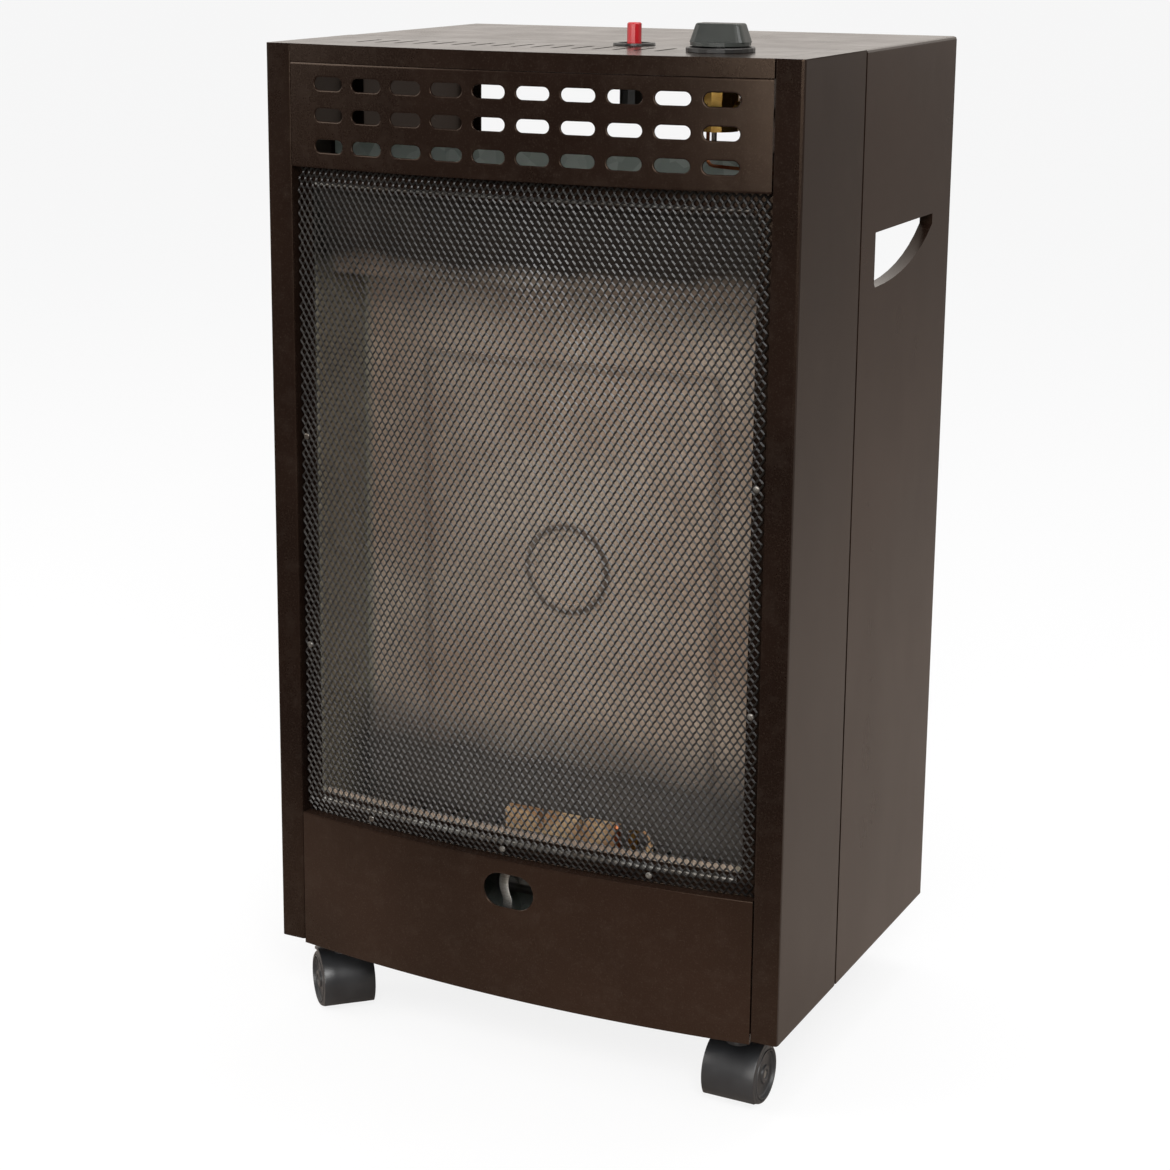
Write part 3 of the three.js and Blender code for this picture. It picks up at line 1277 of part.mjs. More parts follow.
// The hood covers the front and top of both wheels; a web between them carries the axle.
function casterHood() {
  const inner = WHEEL_RADIUS + HOOD_GAP;
  const outer = inner + HOOD_WALL;
  const half = WHEEL_WIDTH + WEB_THICKNESS / 2 + CLEAR;
  const webHalf = WEB_THICKNESS / 2;
  const [from, to] = [HOOD_REAR_ANGLE, HOOD_FRONT_ANGLE];
  const axleLine = (geometry) => geometry.translate(0, CASTER_TRAIL, WHEEL_RADIUS);
  const hoodShape = new THREE.Shape(new THREE.Path().absarc(0, 0, outer, from, to).getPoints(HOOD_STEPS));
  const innerLine = new THREE.Path().absarc(0, 0, inner, to, from, true).getPoints(HOOD_STEPS);
  innerLine.forEach((p) => hoodShape.lineTo(p.x, p.y));
  const hood = axleLine(alongX(hoodShape, -half, half));
  const webRadius = inner + HOOD_WALL / 2;
  const webLine = new THREE.Path().absarc(0, 0, webRadius, from, to).getPoints(HOOD_STEPS);
  const web = axleLine(alongX(new THREE.Shape([...webLine, point(0, 0)]), -webHalf, webHalf));
  const hub = axleLine(alongX(circleShape(2 * AXLE_RADIUS), -webHalf, webHalf));
  const boss = rod(STEM_BOSS_RADIUS, WHEEL_RADIUS + inner / 2, STEM_FOOT_Z);
  const stem = rod(STEM_RADIUS, STEM_FOOT_Z - SHEET, STEM_TOP_Z);
  const wheelSpace = axleLine(alongX(circleShape(holeRadius(inner)), webHalf, half + SHEET));
  const bossTrimmed = cut(boss, wheelSpace, mirrored(wheelSpace));
  const axleHole = axleLine(alongX(circleShape(holeRadius(AXLE_RADIUS)), -half, half));
  return cut(join(hood, web, hub, bossTrimmed, stem), axleHole);
}

function casterAxle() {
  const half = WEB_THICKNESS / 2 + CLEAR + WHEEL_WIDTH - SHEET;
  return turnedX([[0, -half], [AXLE_RADIUS, -half], [AXLE_RADIUS, half], [0, half]]);
}

// One wheel with a rounded tread, a dished outer face and a hub, standing to the right of the web.
function casterWheel() {
  const x0 = WEB_THICKNESS / 2 + CLEAR;
  const x1 = x0 + WHEEL_WIDTH;
  const r = WHEEL_RADIUS;
  const bore = holeRadius(AXLE_RADIUS);
  const rim = r - RIM_WIDTH;
  const hub = AXLE_RADIUS + HUB_WALL;
  return turnedX([
    [bore, x0], [r - TREAD_INNER_EDGE, x0], [r, x0 + TREAD_INNER_CHAMFER], [r, x1 - TREAD_OUTER_CHAMFER],
    [r - TREAD_SHOULDER, x1 - TREAD_SHOULDER_EDGE], [rim, x1], [rim - RIM_SLOPE, x1 - DISH_DEPTH],
    [hub + HUB_SLOPE, x1 - DISH_DEPTH], [hub, x1 - HUB_RECESS], [bore, x1 - HUB_RECESS],
  ], WHEEL_SIDES);
}

function addCaster(corner, x, y, turn) {
  const place = new THREE.Group();
  place.position.set(x, y, 0);
  place.rotation.z = turn;
  heater.add(place);
  add(`caster_socket_${corner}`, casterSocket(), STEEL, place);
  add(`caster_hood_${corner}`, casterHood(), CASTER_GREY, place);
  const axle = new THREE.Group();
  axle.position.set(0, CASTER_TRAIL, WHEEL_RADIUS);
  place.add(axle);
  add(`caster_axle_${corner}`, casterAxle(), STEEL, axle);
  add(`caster_wheel_${corner}_right`, casterWheel(), WHEEL_GREY, axle);
  add(`caster_wheel_${corner}_left`, mirrored(casterWheel()), WHEEL_GREY, axle);
}

// Assembly

function addCabinet() {
  add('base_tray', baseTray(), BLACK_ENAMEL);
  add('left_column', column(-1), BLACK_ENAMEL);
  add('right_column', column(1), BLACK_ENAMEL);
  add('top_panel', topPanel(), BLACK_ENAMEL);
  add('upper_grille', upperGrille(), BLACK_ENAMEL);
  add('lower_front_panel', lowerFrontPanel(), BROWN_ENAMEL);
  add('rear_shell', rearShell(), BROWN_ENAMEL);
  add('rear_cover', rearCover(), BLACK_ENAMEL);
  add('heat_shield', heatShield(), GALVANISED);
}

function addFirebox() {
  add('guard_mesh', guardMesh(), MESH_BLACK);
  add('guard_frame', guardFrame(), BLACK_ENAMEL);
  add('firebox_side_left', fireboxSide(-1), STAINLESS);
  add('firebox_side_right', fireboxSide(1), STAINLESS);
  add('firebox_back', fireboxBack(), STAINLESS);
  add('firebox_hood', fireboxHood(), STAINLESS);
  add('firebox_floor', fireboxFloor(), STAINLESS);
}

function addBurner() {
  add('burner_box', burnerBox(), STEEL);
  add('burner_cover', burnerCover(), STEEL);
  add('ceramic_blocks', ceramicBlocks(), CERAMIC);
  add('mixing_tube', mixingTube(), STEEL);
  add('injector_holder', injectorHolder(), BRASS);
  add('pilot_bracket', pilotBracket(), STEEL);
  add('pilot_burner', pilotBurner(), BRASS);
  add('thermocouple_probe', thermocoupleProbe(), COPPER);
  add('spark_electrode', sparkElectrode(), CERAMIC);
}

function addControls() {
  add('tap_bracket', tapBracket(), GALVANISED);
  add('tap_body', tapBody(), BRASS);
  add('tap_plug', tapPlug(), BRASS);
  add('knob_bezel', knobBezel(), BLACK_PLASTIC);
  add('control_knob', controlKnob(), KNOB_GREY);
  add('igniter_collar', igniterCollar(), BLACK_PLASTIC);
  add('igniter_body', igniterBody(), BLACK_PLASTIC);
  add('igniter_button', igniterButton(), BUTTON_RED);
  add('igniter_spring', igniterSpring(), STEEL);
  add('burner_pipe', burnerPipe(), COPPER);
  add('pilot_pipe', pilotPipe(), STEEL);
  add('thermocouple_lead', thermocoupleLead(), COPPER);
  add('inlet_pipe', inletPipe(), COPPER);
  add('inlet_barb', inletBarb(), BRASS);
}

addCabinet();
addFirebox();
addBurner();
addControls();
casterPlaces().forEach(([corner, x, y, turn]) => addCaster(corner, x, y, turn));

export default heater;
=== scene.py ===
# Looks for the portable gas cabinet heater: camera, light, materials and fine pieces round the fixed frame.
import json
import math

import bmesh
import bpy
from mathutils import Matrix, Vector

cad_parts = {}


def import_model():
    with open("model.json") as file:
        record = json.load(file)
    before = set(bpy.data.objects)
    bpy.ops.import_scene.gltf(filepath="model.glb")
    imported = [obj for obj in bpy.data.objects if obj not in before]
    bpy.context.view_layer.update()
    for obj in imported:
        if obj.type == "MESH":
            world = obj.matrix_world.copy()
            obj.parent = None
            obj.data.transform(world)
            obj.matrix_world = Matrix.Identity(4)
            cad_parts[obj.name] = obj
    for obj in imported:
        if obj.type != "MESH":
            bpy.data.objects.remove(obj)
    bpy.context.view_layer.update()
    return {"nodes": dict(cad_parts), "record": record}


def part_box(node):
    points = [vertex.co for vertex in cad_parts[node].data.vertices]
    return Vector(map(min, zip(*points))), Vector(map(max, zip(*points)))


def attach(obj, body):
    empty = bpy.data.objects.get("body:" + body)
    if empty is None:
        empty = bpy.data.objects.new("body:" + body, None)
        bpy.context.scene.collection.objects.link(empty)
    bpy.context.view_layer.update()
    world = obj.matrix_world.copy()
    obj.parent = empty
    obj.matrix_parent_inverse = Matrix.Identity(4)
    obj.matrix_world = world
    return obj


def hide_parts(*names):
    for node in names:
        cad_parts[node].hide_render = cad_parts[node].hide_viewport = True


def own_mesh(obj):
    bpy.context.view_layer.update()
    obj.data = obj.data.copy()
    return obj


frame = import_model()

# Places in metres, read from the frame where it has them
SHEET = 0.0012
CLEAR = 0.0003
CABINET_HEIGHT = 0.700
BOW = 0.015
guard_low, guard_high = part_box("guard_mesh")
panel_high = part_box("lower_front_panel")[1]
PANEL_HALF = panel_high.x
PANEL_TOP_Z = panel_high.z
POST_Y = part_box("right_column")[0].y
BOW_RADIUS = (PANEL_HALF ** 2 + BOW ** 2) / (2 * BOW)
PANEL_ARC = BOW_RADIUS * math.asin(PANEL_HALF / BOW_RADIUS)
GUARD_HALF = guard_high.x
GUARD_Z0, GUARD_Z1 = guard_low.z, guard_high.z
TOP_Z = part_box("rear_shell")[1].z
BASE_Z = TOP_Z - CABINET_HEIGHT
HOOD_Z = BASE_Z + 0.528
# Height below which painted shade darkens the foot of the firebox back
FOOT_SHADE_Z = BASE_Z + 0.132
# Place and size of the embossed frame and ring on the firebox back, along which painted shade lines are
# drawn
EMBOSS_Z = BASE_Z + 0.308
EMBOSS_HALF = 0.120
EMBOSS_TALL = 0.157
EMBOSS_RING = 0.033


# ---------------------------------------------------------------- camera

def make_camera():
    data = bpy.data.cameras.new("view")
    data.lens = 75.62
    data.sensor_width = 36.0
    data.shift_x = 0.087
    data.shift_y = -0.10
    data.clip_end = 200
    camera = bpy.data.objects.new("view", data)
    bpy.context.scene.collection.objects.link(camera)
    camera.location = (0.7944, -1.681, 0.8633)
    camera.rotation_euler = (math.radians(90 - 13.01), 0, math.radians(28.31))
    bpy.context.scene.camera = camera


make_camera()


# ---------------------------------------------------------------- node helpers

class Nodes:
    """A short way to build a node tree."""

    def __init__(self, tree):
        self.tree = tree
        tree.nodes.clear()

    def add(self, kind, **values):
        node = self.tree.nodes.new(kind)
        for name, value in values.items():
            if hasattr(node, name):
                setattr(node, name, value)
            else:
                self.put(node, name, value)
        return node

    def put(self, node, name, value):
        wanted = name.replace("_", " ").lower()
        socket = next(s for s in node.inputs if s.name.lower() == wanted and s.enabled)
        if isinstance(value, bpy.types.NodeSocket):
            self.tree.links.new(value, socket)
        else:
            socket.default_value = value

    def link(self, a, b):
        self.tree.links.new(a, b)


def rgb(r, g, b):
    """An sRGB colour from 0 to 255 as the linear colour that a shader takes."""
    def linear(c):
        c = c / 255
        return c / 12.92 if c <= 0.04045 else ((c + 0.055) / 1.055) ** 2.4
    return (linear(r), linear(g), linear(b), 1)


def coordinates(n, scale=(1, 1, 1)):
    """The place on the object in metres, scaled."""
    place = n.add("ShaderNodeTexCoord")
    mapping = n.add("ShaderNodeMapping", Scale=scale)
    n.link(place.outputs["Object"], mapping.inputs["Vector"])
    return mapping.outputs["Vector"]


def place_axes(n):
    """The x, y and z of the place on the object, in metres."""
    apart = n.add("ShaderNodeSeparateXYZ")
    n.link(coordinates(n), apart.inputs["Vector"])
    return apart.outputs["X"], apart.outputs["Y"], apart.outputs["Z"]


def maths(n, operation, *values):
    node = n.add("ShaderNodeMath", operation=operation)
    for socket, value in zip(node.inputs, values):
        if isinstance(value, bpy.types.NodeSocket):
            n.link(value, socket)
        else:
            socket.default_value = value
    return node.outputs[0]


def noise(n, scale, detail=3, roughness=0.5, stretch=(1, 1, 1)):
    node = n.add("ShaderNodeTexNoise", Scale=scale, Detail=detail, Roughness=roughness)
    n.link(coordinates(n, stretch), node.inputs["Vector"])
    return node.outputs["Fac"]


def ramp(n, factor, *stops):
    """A colour ramp; each stop is (place, colour)."""
    node = n.add("ShaderNodeValToRGB")
    n.link(factor, node.inputs["Fac"])
    elements = node.color_ramp.elements
    while len(elements) < len(stops):
        elements.new(0.5)
    for element, (place, colour) in zip(elements, stops):
        element.position = place
        element.color = colour if len(colour) == 4 else (*colour, 1)
    return node.outputs["Color"]


def spread(n, factor, low, high, from_low=0.3, from_high=0.7):
    """A number between low and high that follows the factor."""
    node = n.add("ShaderNodeMapRange", From_Min=from_low, From_Max=from_high, To_Min=low, To_Max=high)
    n.link(factor, node.inputs["Value"])
    return node.outputs["Result"]


def mix(n, factor, a, b):
    node = n.add("ShaderNodeMix", data_type="RGBA", blend_type="MIX")
    for socket, value in ((node.inputs[0], factor), (node.inputs[6], a), (node.inputs[7], b)):
        if isinstance(value, bpy.types.NodeSocket):
            n.link(value, socket)
        else:
            socket.default_value = value
    return node.outputs[2]


def bump(n, height, strength, distance):
    node = n.add("ShaderNodeBump", Strength=strength, Distance=distance)
    n.link(height, node.inputs["Height"])
    return node.outputs["Normal"]


def shader(n, colour, roughness, normal, **values):
    """The surface of a material; values are named as the shader's sockets are."""
    node = n.add("ShaderNodeBsdfPrincipled")
    values = {"Base Color": colour, "Roughness": roughness, **values, "Normal": normal}
    for name, value in values.items():
        socket = node.inputs[name]
        if isinstance(value, bpy.types.NodeSocket):
            n.link(value, socket)
        else:
            socket.default_value = value
    out = n.add("ShaderNodeOutputMaterial")
    n.link(node.outputs["BSDF"], out.inputs["Surface"])


def material(name):
    made = bpy.data.materials.new(name)
    made.use_nodes = True
    return made, Nodes(made.node_tree)


# ---------------------------------------------------------------- materials

def enamel(name, dark, light, rough):
    """Baked enamel: slow cloudy shade, orange-peel surface, faint dust and rubbed spots in the gloss."""
    made, n = material(name)
    clouds = noise(n, 6, 2)
    specks = noise(n, 900, 2, 0.6)
    dust = noise(n, 70, 4, 0.7)
    tone = ramp(n, clouds, (0.35, dark), (0.65, light))
    tone = mix(n, spread(n, specks, 0.0, 0.07, 0.55, 0.75), tone, rgb(120, 108, 96))
    tone = mix(n, spread(n, dust, 0.0, 0.03, 0.5, 0.8), tone, rgb(132, 120, 108))
    smears = noise(n, 22, 4, 0.6, (1, 1, 0.4))
    gloss = spread(n, smears, rough - 0.03, rough + 0.04)
    orange = noise(n, 520, 2, 0.45)
    values = {"Specular IOR Level": 0.27, "Specular Tint": (1.0, 0.74, 0.56, 1)}
    shader(n, tone, gloss, bump(n, orange, 0.03, 0.0006), **values)
    return made


def brushed(name, dark, light, stain):
    """Bare steel with fine lines along x and small stains from handling."""
    made, n = material(name)
    lines = noise(n, 1400, 3, 0.6, (0.02, 1, 1))
    tone = ramp(n, lines, (0.3, dark), (0.7, light))
    stains = noise(n, 30, 4, 0.6)
    tone = mix(n, spread(n, stains, 0.0, 0.75, 0.42, 0.62), tone, stain)
    gloss = spread(n, lines, 0.3, 0.46)
    shader(n, tone, gloss, bump(n, lines, 0.12, 0.0002), Metallic=0.9)
    return made


def firebox_steel(name):
    """Heat-tinted sheet: fine lines, warm stains, near-black above the hood line, and painted shade at the
    foot of the back wall and along the embossing.
    """
    made, n = material(name)
    x, y, z = place_axes(n)
    lines = noise(n, 1400, 3, 0.6, (1, 1, 0.02))
    tone = ramp(n, lines, (0.3, rgb(182, 164, 147)), (0.7, rgb(212, 194, 176)))
    stains = noise(n, 7, 4, 0.6)
    tone = mix(n, spread(n, stains, 0.0, 0.6, 0.42, 0.62), tone, rgb(168, 138, 116))
    sides = spread(n, maths(n, "ABSOLUTE", x), 0.0, 0.75, 0.168, 0.1745)
    tone = mix(n, sides, tone, rgb(134, 136, 120))
    # Painted shade: dark lines along the embossed frame and ring, standing in for the shading of the
    # pressed ridges.
    across = maths(n, "SUBTRACT", maths(n, "ABSOLUTE", x), EMBOSS_HALF)
    height = maths(n, "ABSOLUTE", maths(n, "SUBTRACT", z, EMBOSS_Z))
    upward = maths(n, "SUBTRACT", height, EMBOSS_TALL)
    frame_shade_line = maths(n, "ABSOLUTE", maths(n, "MAXIMUM", across, upward))
    square = maths(n, "ADD", maths(n, "MULTIPLY", x, x), maths(n, "MULTIPLY", height, height))
    ring_shade_line = maths(n, "ABSOLUTE", maths(n, "SUBTRACT", maths(n, "SQRT", square), EMBOSS_RING))
    tone = mix(n, spread(n, frame_shade_line, 0.3, 0.0, 0.0018, 0.0040), tone, rgb(66, 54, 46))
    tone = mix(n, spread(n, ring_shade_line, 0.7, 0.0, 0.0014, 0.0036), tone, rgb(66, 54, 46))
    # The sheet turns near-black above the hood line; this noise makes that edge uneven, and also the edge
    # of the painted shade at the foot.
    edge_noise = noise(n, 18, 3)
    hood_line_height = maths(n, "ADD", z, maths(n, "MULTIPLY", edge_noise, 0.03))
    tone = mix(n, spread(n, hood_line_height, 0.0, 0.96, HOOD_Z + 0.004, HOOD_Z + 0.034), tone, rgb(22, 18, 16))
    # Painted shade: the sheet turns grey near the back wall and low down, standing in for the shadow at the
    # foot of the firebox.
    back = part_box("firebox_back")[0].y
    deep = spread(n, y, 0.0, 1.0, back - 0.045, back - 0.004)
    foot_shade_height = maths(n, "SUBTRACT", z, maths(n, "MULTIPLY", edge_noise, 0.03))
    foot = spread(n, foot_shade_height, 0.92, 0.0, FOOT_SHADE_Z, FOOT_SHADE_Z + 0.046)
    tone = mix(n, maths(n, "MULTIPLY", deep, foot), tone, rgb(84, 82, 80))
    gloss = spread(n, lines, 0.4, 0.56)
    shader(n, tone, gloss, bump(n, lines, 0.12, 0.0002), Metallic=0.2)
    return made


def galvanised(name):
    """Zinc-coated sheet with the flat crystals that such a coat has."""
    made, n = material(name)
    cells = n.add("ShaderNodeTexVoronoi", Scale=90, feature="F1")
    n.link(coordinates(n), cells.inputs["Vector"])
    grey = n.add("ShaderNodeSeparateColor")
    n.link(cells.outputs["Color"], grey.inputs["Color"])
    tone = ramp(n, grey.outputs[0], (0.0, rgb(150, 160, 153)), (1.0, rgb(186, 196, 189)))
    gloss = spread(n, grey.outputs[1], 0.34, 0.5, 0, 1)
    shader(n, tone, gloss, bump(n, noise(n, 300, 3), 0.06, 0.0003), Metallic=0.35)
    return made


def turned_metal(name, dark, light, rough=0.28):
    """Machined or drawn metal: fine rings and tarnish."""
    made, n = material(name)
    fine = noise(n, 1800, 2, 0.6, (0.3, 0.3, 1))
    stains = noise(n, 60, 4, 0.6)
    tone = ramp(n, stains, (0.35, dark), (0.65, light))
    gloss = spread(n, stains, rough + 0.12, rough - 0.04)
    shader(n, tone, gloss, bump(n, fine, 0.15, 0.0001), Metallic=1.0)
    return made


def ceramic(name):
    """Fired ceramic: rough grain and heat-browned patches."""
    made, n = material(name)
    grains = noise(n, 700, 4, 0.7)
    stains = noise(n, 40, 3)
    tone = ramp(n, stains, (0.35, rgb(176, 134, 96)), (0.65, rgb(226, 196, 154)))
    tone = mix(n, spread(n, grains, 0.0, 0.35, 0.5, 0.7), tone, rgb(120, 84, 60))
    shader(n, tone, 0.85, bump(n, grains, 0.5, 0.0004))
    return made


def plastic(name, dark, light, rough, grain=900, depth=0.12):
    """Moulded plastic or thick paint: a fine grain, with a slow change of shade and gloss."""
    made, n = material(name)
    fine = noise(n, grain, 3, 0.6)
    slow = noise(n, 30, 3)
    tone = ramp(n, slow, (0.35, dark), (0.65, light))
    gloss = spread(n, slow, rough - 0.05, rough + 0.07)
    shader(n, tone, gloss, bump(n, fine, depth, 0.0002))
    return made


MATERIALS = {
    "black_enamel": enamel("black_enamel", rgb(21, 13, 10), rgb(30, 20, 15), 0.23),
    "brown_enamel": enamel("brown_enamel", rgb(29, 19, 14), rgb(37, 25, 19), 0.24),
    "guard_black": plastic("guard_black", rgb(14, 12, 11), rgb(26, 23, 20), 0.36, 2400, 0.2),
    "stainless": firebox_steel("stainless"),
    "galvanised": galvanised("galvanised"),
    "steel": brushed("steel", rgb(120, 120, 118), rgb(176, 176, 172), rgb(96, 84, 72)),
    "brass": turned_metal("brass", rgb(150, 112, 52), rgb(206, 170, 96)),
    "copper": turned_metal("copper", rgb(150, 84, 54), rgb(206, 132, 92), 0.32),
    "ceramic": ceramic("ceramic"),
    "knob_grey": plastic("knob_grey", rgb(33, 37, 35), rgb(48, 52, 49), 0.42, 1300, 0.16),
    "black_plastic": plastic("black_plastic", rgb(13, 12, 12), rgb(26, 25, 24), 0.36),
    "button_red": plastic("button_red", rgb(158, 12, 22), rgb(176, 20, 30), 0.3, 700, 0.04),
    "caster_grey": plastic("caster_grey", rgb(27, 28, 30), rgb(40, 41, 43), 0.36, 1100, 0.16),
    "wheel_grey": plastic("wheel_grey", rgb(33, 34, 36), rgb(50, 51, 53), 0.4, 800, 0.2),
}

for part in frame["record"]["subparts"]:
    node = frame["nodes"][part["node"]]
    node.data.materials.clear()
    node.data.materials.append(MATERIALS[part["material_slot"]])
    node.data.polygons.foreach_set("use_smooth", [True] * len(node.data.polygons))
    node.data.set_sharp_from_angle(angle=math.radians(27))


# ---------------------------------------------------------------- mesh helpers

def piece(name, mesh, slot, body="cabinet", smooth=30):
    """A new piece of the object from a bmesh, with its finish, riding on a body."""
    data = bpy.data.meshes.new(name)
    mesh.to_mesh(data)
    mesh.free()
    data.materials.append(MATERIALS[slot])
    data.polygons.foreach_set("use_smooth", [True] * len(data.polygons))
    data.set_sharp_from_angle(angle=math.radians(smooth))
    made = bpy.data.objects.new(name, data)
    bpy.context.scene.collection.objects.link(made)
    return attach(made, body)


def ring_faces(mesh, rings):
    """The faces between closed rings of equally many points."""
    for a, b in zip(rings, rings[1:]):
        for k in range(len(a)):
            m = (k + 1) % len(a)
            mesh.faces.new((a[k], a[m], b[m], b[k]))


def bow_frame(s, inset):
    """The place, sideways direction and outward direction of the bowed front at arc length s."""
    a = s / BOW_RADIUS
    across = Vector((math.cos(a), math.sin(a), 0))
    out = Vector((math.sin(a), -math.cos(a), 0))
    centre = Vector((0, POST_Y - BOW + BOW_RADIUS, 0))
    return centre + out * (BOW_RADIUS - inset), across, out


# ---------------------------------------------------------------- folded sheets with round bends

def soft_folds(node, slot, body="cabinet"):
    """A copy of a folded sheet with rounded bends, which stands for the CAD node."""
    mesh = bmesh.new()
    mesh.from_mesh(frame["nodes"][node].data)
    bmesh.ops.remove_doubles(mesh, verts=mesh.verts, dist=2e-6)
    made = piece(f"{node}_soft", mesh, slot, body, 80)
    bevel = made.modifiers.new("bends", "BEVEL")
    bevel.width = 0.0005
    bevel.segments = 3
    bevel.limit_method = "ANGLE"
    bevel.angle_limit = math.radians(50)
    shade = made.modifiers.new("shade", "WEIGHTED_NORMAL")
    shade.weight = 100
    shade.keep_sharp = True
    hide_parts(node)


soft_folds("left_column", "black_enamel")
soft_folds("right_column", "black_enamel")
soft_folds("top_panel", "black_enamel")
soft_folds("rear_shell", "brown_enamel")
soft_folds("rear_cover", "black_enamel", "rear_cover")


# ---------------------------------------------------------------- guard: fine expanded metal

LATTICE_COLUMNS = 69
LATTICE_ROWS = 58
STRAND_WIDTH = 0.00125
STRAND_DEPTH = 0.0008
STRAND_TILT = math.radians(33)
BOND = 0.0014
FACE_INSET = 0.0052
EDGE_INSET = 0.0086
HEAD_BAND = 0.013
FOOT_BAND = 0.011


def guard_inset(z):
    """The sheet stands forward and is folded back along its head and foot."""
    head = (z - (GUARD_Z1 - HEAD_BAND)) / HEAD_BAND
    foot = ((GUARD_Z0 + FOOT_BAND) - z) / FOOT_BAND
    return FACE_INSET + (EDGE_INSET - FACE_INSET) * max(0.0, head, foot)


def add_bar(verts, faces, ends, tilt):
    """A flat strand between two points of the sheet, turned about its own line."""
    (s0, z0), (s1, z1) = ends
    base = len(verts)
    for s, z in ends:
        place, across, out = bow_frame(s, guard_inset(z))
        place.z = z
        along = across * (s1 - s0) + Vector((0, 0, z1 - z0))
        along.normalize()
        side = along.cross(out).normalized()
        if side.dot(across) < 0:
            side = -side
        face = out * math.cos(tilt) + side * math.sin(tilt)
        flat = side * math.cos(tilt) - out * math.sin(tilt)
        for a, b in ((-1, -1), (1, -1), (1, 1), (-1, 1)):
            verts.append(place + flat * (a * STRAND_WIDTH / 2) + face * (b * STRAND_DEPTH / 2))
    for k in range(4):
        m = (k + 1) % 4
        faces.append((base + k, base + m, base + 4 + m, base + 4 + k))
    faces.append((base + 3, base + 2, base + 1, base))
    faces.append((base + 4, base + 5, base + 6, base + 7))


def guard_weave():
    """The whole mesh: rows of short upright bonds, joined by slanting strands."""
    verts, faces = [], []
    half = GUARD_HALF + 0.0006
    pitch = 2 * half / LATTICE_COLUMNS
    rise = (GUARD_Z1 - GUARD_Z0) / LATTICE_ROWS
    for row in range(2 * LATTICE_ROWS + 1):
        z = GUARD_Z0 + row * rise / 2
        shift = (row % 2) / 2
        for column in range(LATTICE_COLUMNS + 1):
            s = -half + (column + shift) * pitch
            if s > half + 1e-6:
                continue
            low = max(z - BOND / 2, GUARD_Z0)
            high = min(z + BOND / 2, GUARD_Z1)
            add_bar(verts, faces, ((s, low), (s, high)), STRAND_TILT)
            if row == 2 * LATTICE_ROWS:
                continue
            for step in (-0.5, 0.5):
                end = s + step * pitch
                if abs(end) <= half + 1e-6:
                    add_bar(verts, faces, ((s, high), (end, z + rise / 2 - BOND / 2)), STRAND_TILT)
    data = bpy.data.meshes.new("guard_weave")
    data.from_pydata(verts, [], faces)
    data.materials.append(MATERIALS["guard_black"])
    made = bpy.data.objects.new("guard_weave", data)
    bpy.context.scene.collection.objects.link(made)
    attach(made, "cabinet")
    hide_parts("guard_mesh")


guard_weave()


# ---------------------------------------------------------------- small fittings

SCREW_RADIUS = 0.0025
SCREW_HEIGHT = 0.0012


def screw(name, place, out):
    """A pan-head screw with a cross recess, seated at place and facing out."""
    radius, height = SCREW_RADIUS, SCREW_HEIGHT
    mesh = bmesh.new()
    sides = 20
    rings = []
    profile = [(radius, 0), (radius, height * 0.45), (radius * 0.86, height * 0.8),
               (radius * 0.5, height), (radius * 0.34, height), (radius * 0.3, height * 0.45)]
    for r, h in profile:
        ring = []
        for k in range(sides):
            a = 2 * math.pi * k / sides
            lobe = 1.0
            if h == height and r < radius * 0.4 or r <= radius * 0.3:
                lobe = 0.62 + 0.62 * abs(math.cos(2 * a))
            ring.append(mesh.verts.new((r * lobe * math.cos(a), r * lobe * math.sin(a), h)))
        rings.append(ring)
    ring_faces(mesh, rings)
    mesh.faces.new(rings[-1])
    mesh.faces.new(list(reversed(rings[0])))
    turn = Vector(out).to_track_quat("Z", "Y").to_matrix().to_4x4()
    bmesh.ops.transform(mesh, matrix=Matrix.Translation(place) @ turn, verts=mesh.verts)
    piece(name, mesh, "steel")


def guard_screws():
    """Three small screws at the foot and two down each side, as the photograph shows."""
    seats = [(s, GUARD_Z0 + 0.006) for s in (-0.126, -0.008, 0.110)]
    seats += [(side * 0.1835, GUARD_Z0 + up) for side in (-1, 1) for up in (0.136, 0.300)]
    for k, (s, z) in enumerate(seats):
        place, across, out = bow_frame(s, guard_inset(z) - STRAND_DEPTH / 2)
        place.z = z
        screw(f"guard_screw_{k}", place, out)


guard_screws()

SPRING_WIRE = 0.0009


def button_spring():
    """The coil under the igniter button, built at one length; the real coil shortens as the button goes
    down.
    """
    low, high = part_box("igniter_spring")
    wire = SPRING_WIRE / 2
    radius = (high.x - low.x) / 2 - wire
    middle = (low + high) / 2
    turns, steps = 7, 168
    mesh = bmesh.new()
    rings = []
    for k in range(steps + 1):
        a = 2 * math.pi * turns * k / steps
        z = low.z + wire + (high.z - low.z - 2 * wire) * k / steps
        ring = []
        for j in range(8):
            b = 2 * math.pi * j / 8
            r = radius + wire * math.cos(b)
            ring.append(mesh.verts.new((middle.x + r * math.cos(a), middle.y + r * math.sin(a),
                                        z + wire * math.sin(b))))
        rings.append(ring)
    ring_faces(mesh, rings)
    mesh.faces.new(rings[0])
    mesh.faces.new(list(reversed(rings[-1])))
    bmesh.ops.recalc_face_normals(mesh, faces=mesh.faces)
    made = piece("button_spring", mesh, "steel", "cabinet", 60)
    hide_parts("igniter_spring")
    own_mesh(made)


button_spring()


# ---------------------------------------------------------------- bowed panels with pressed holes

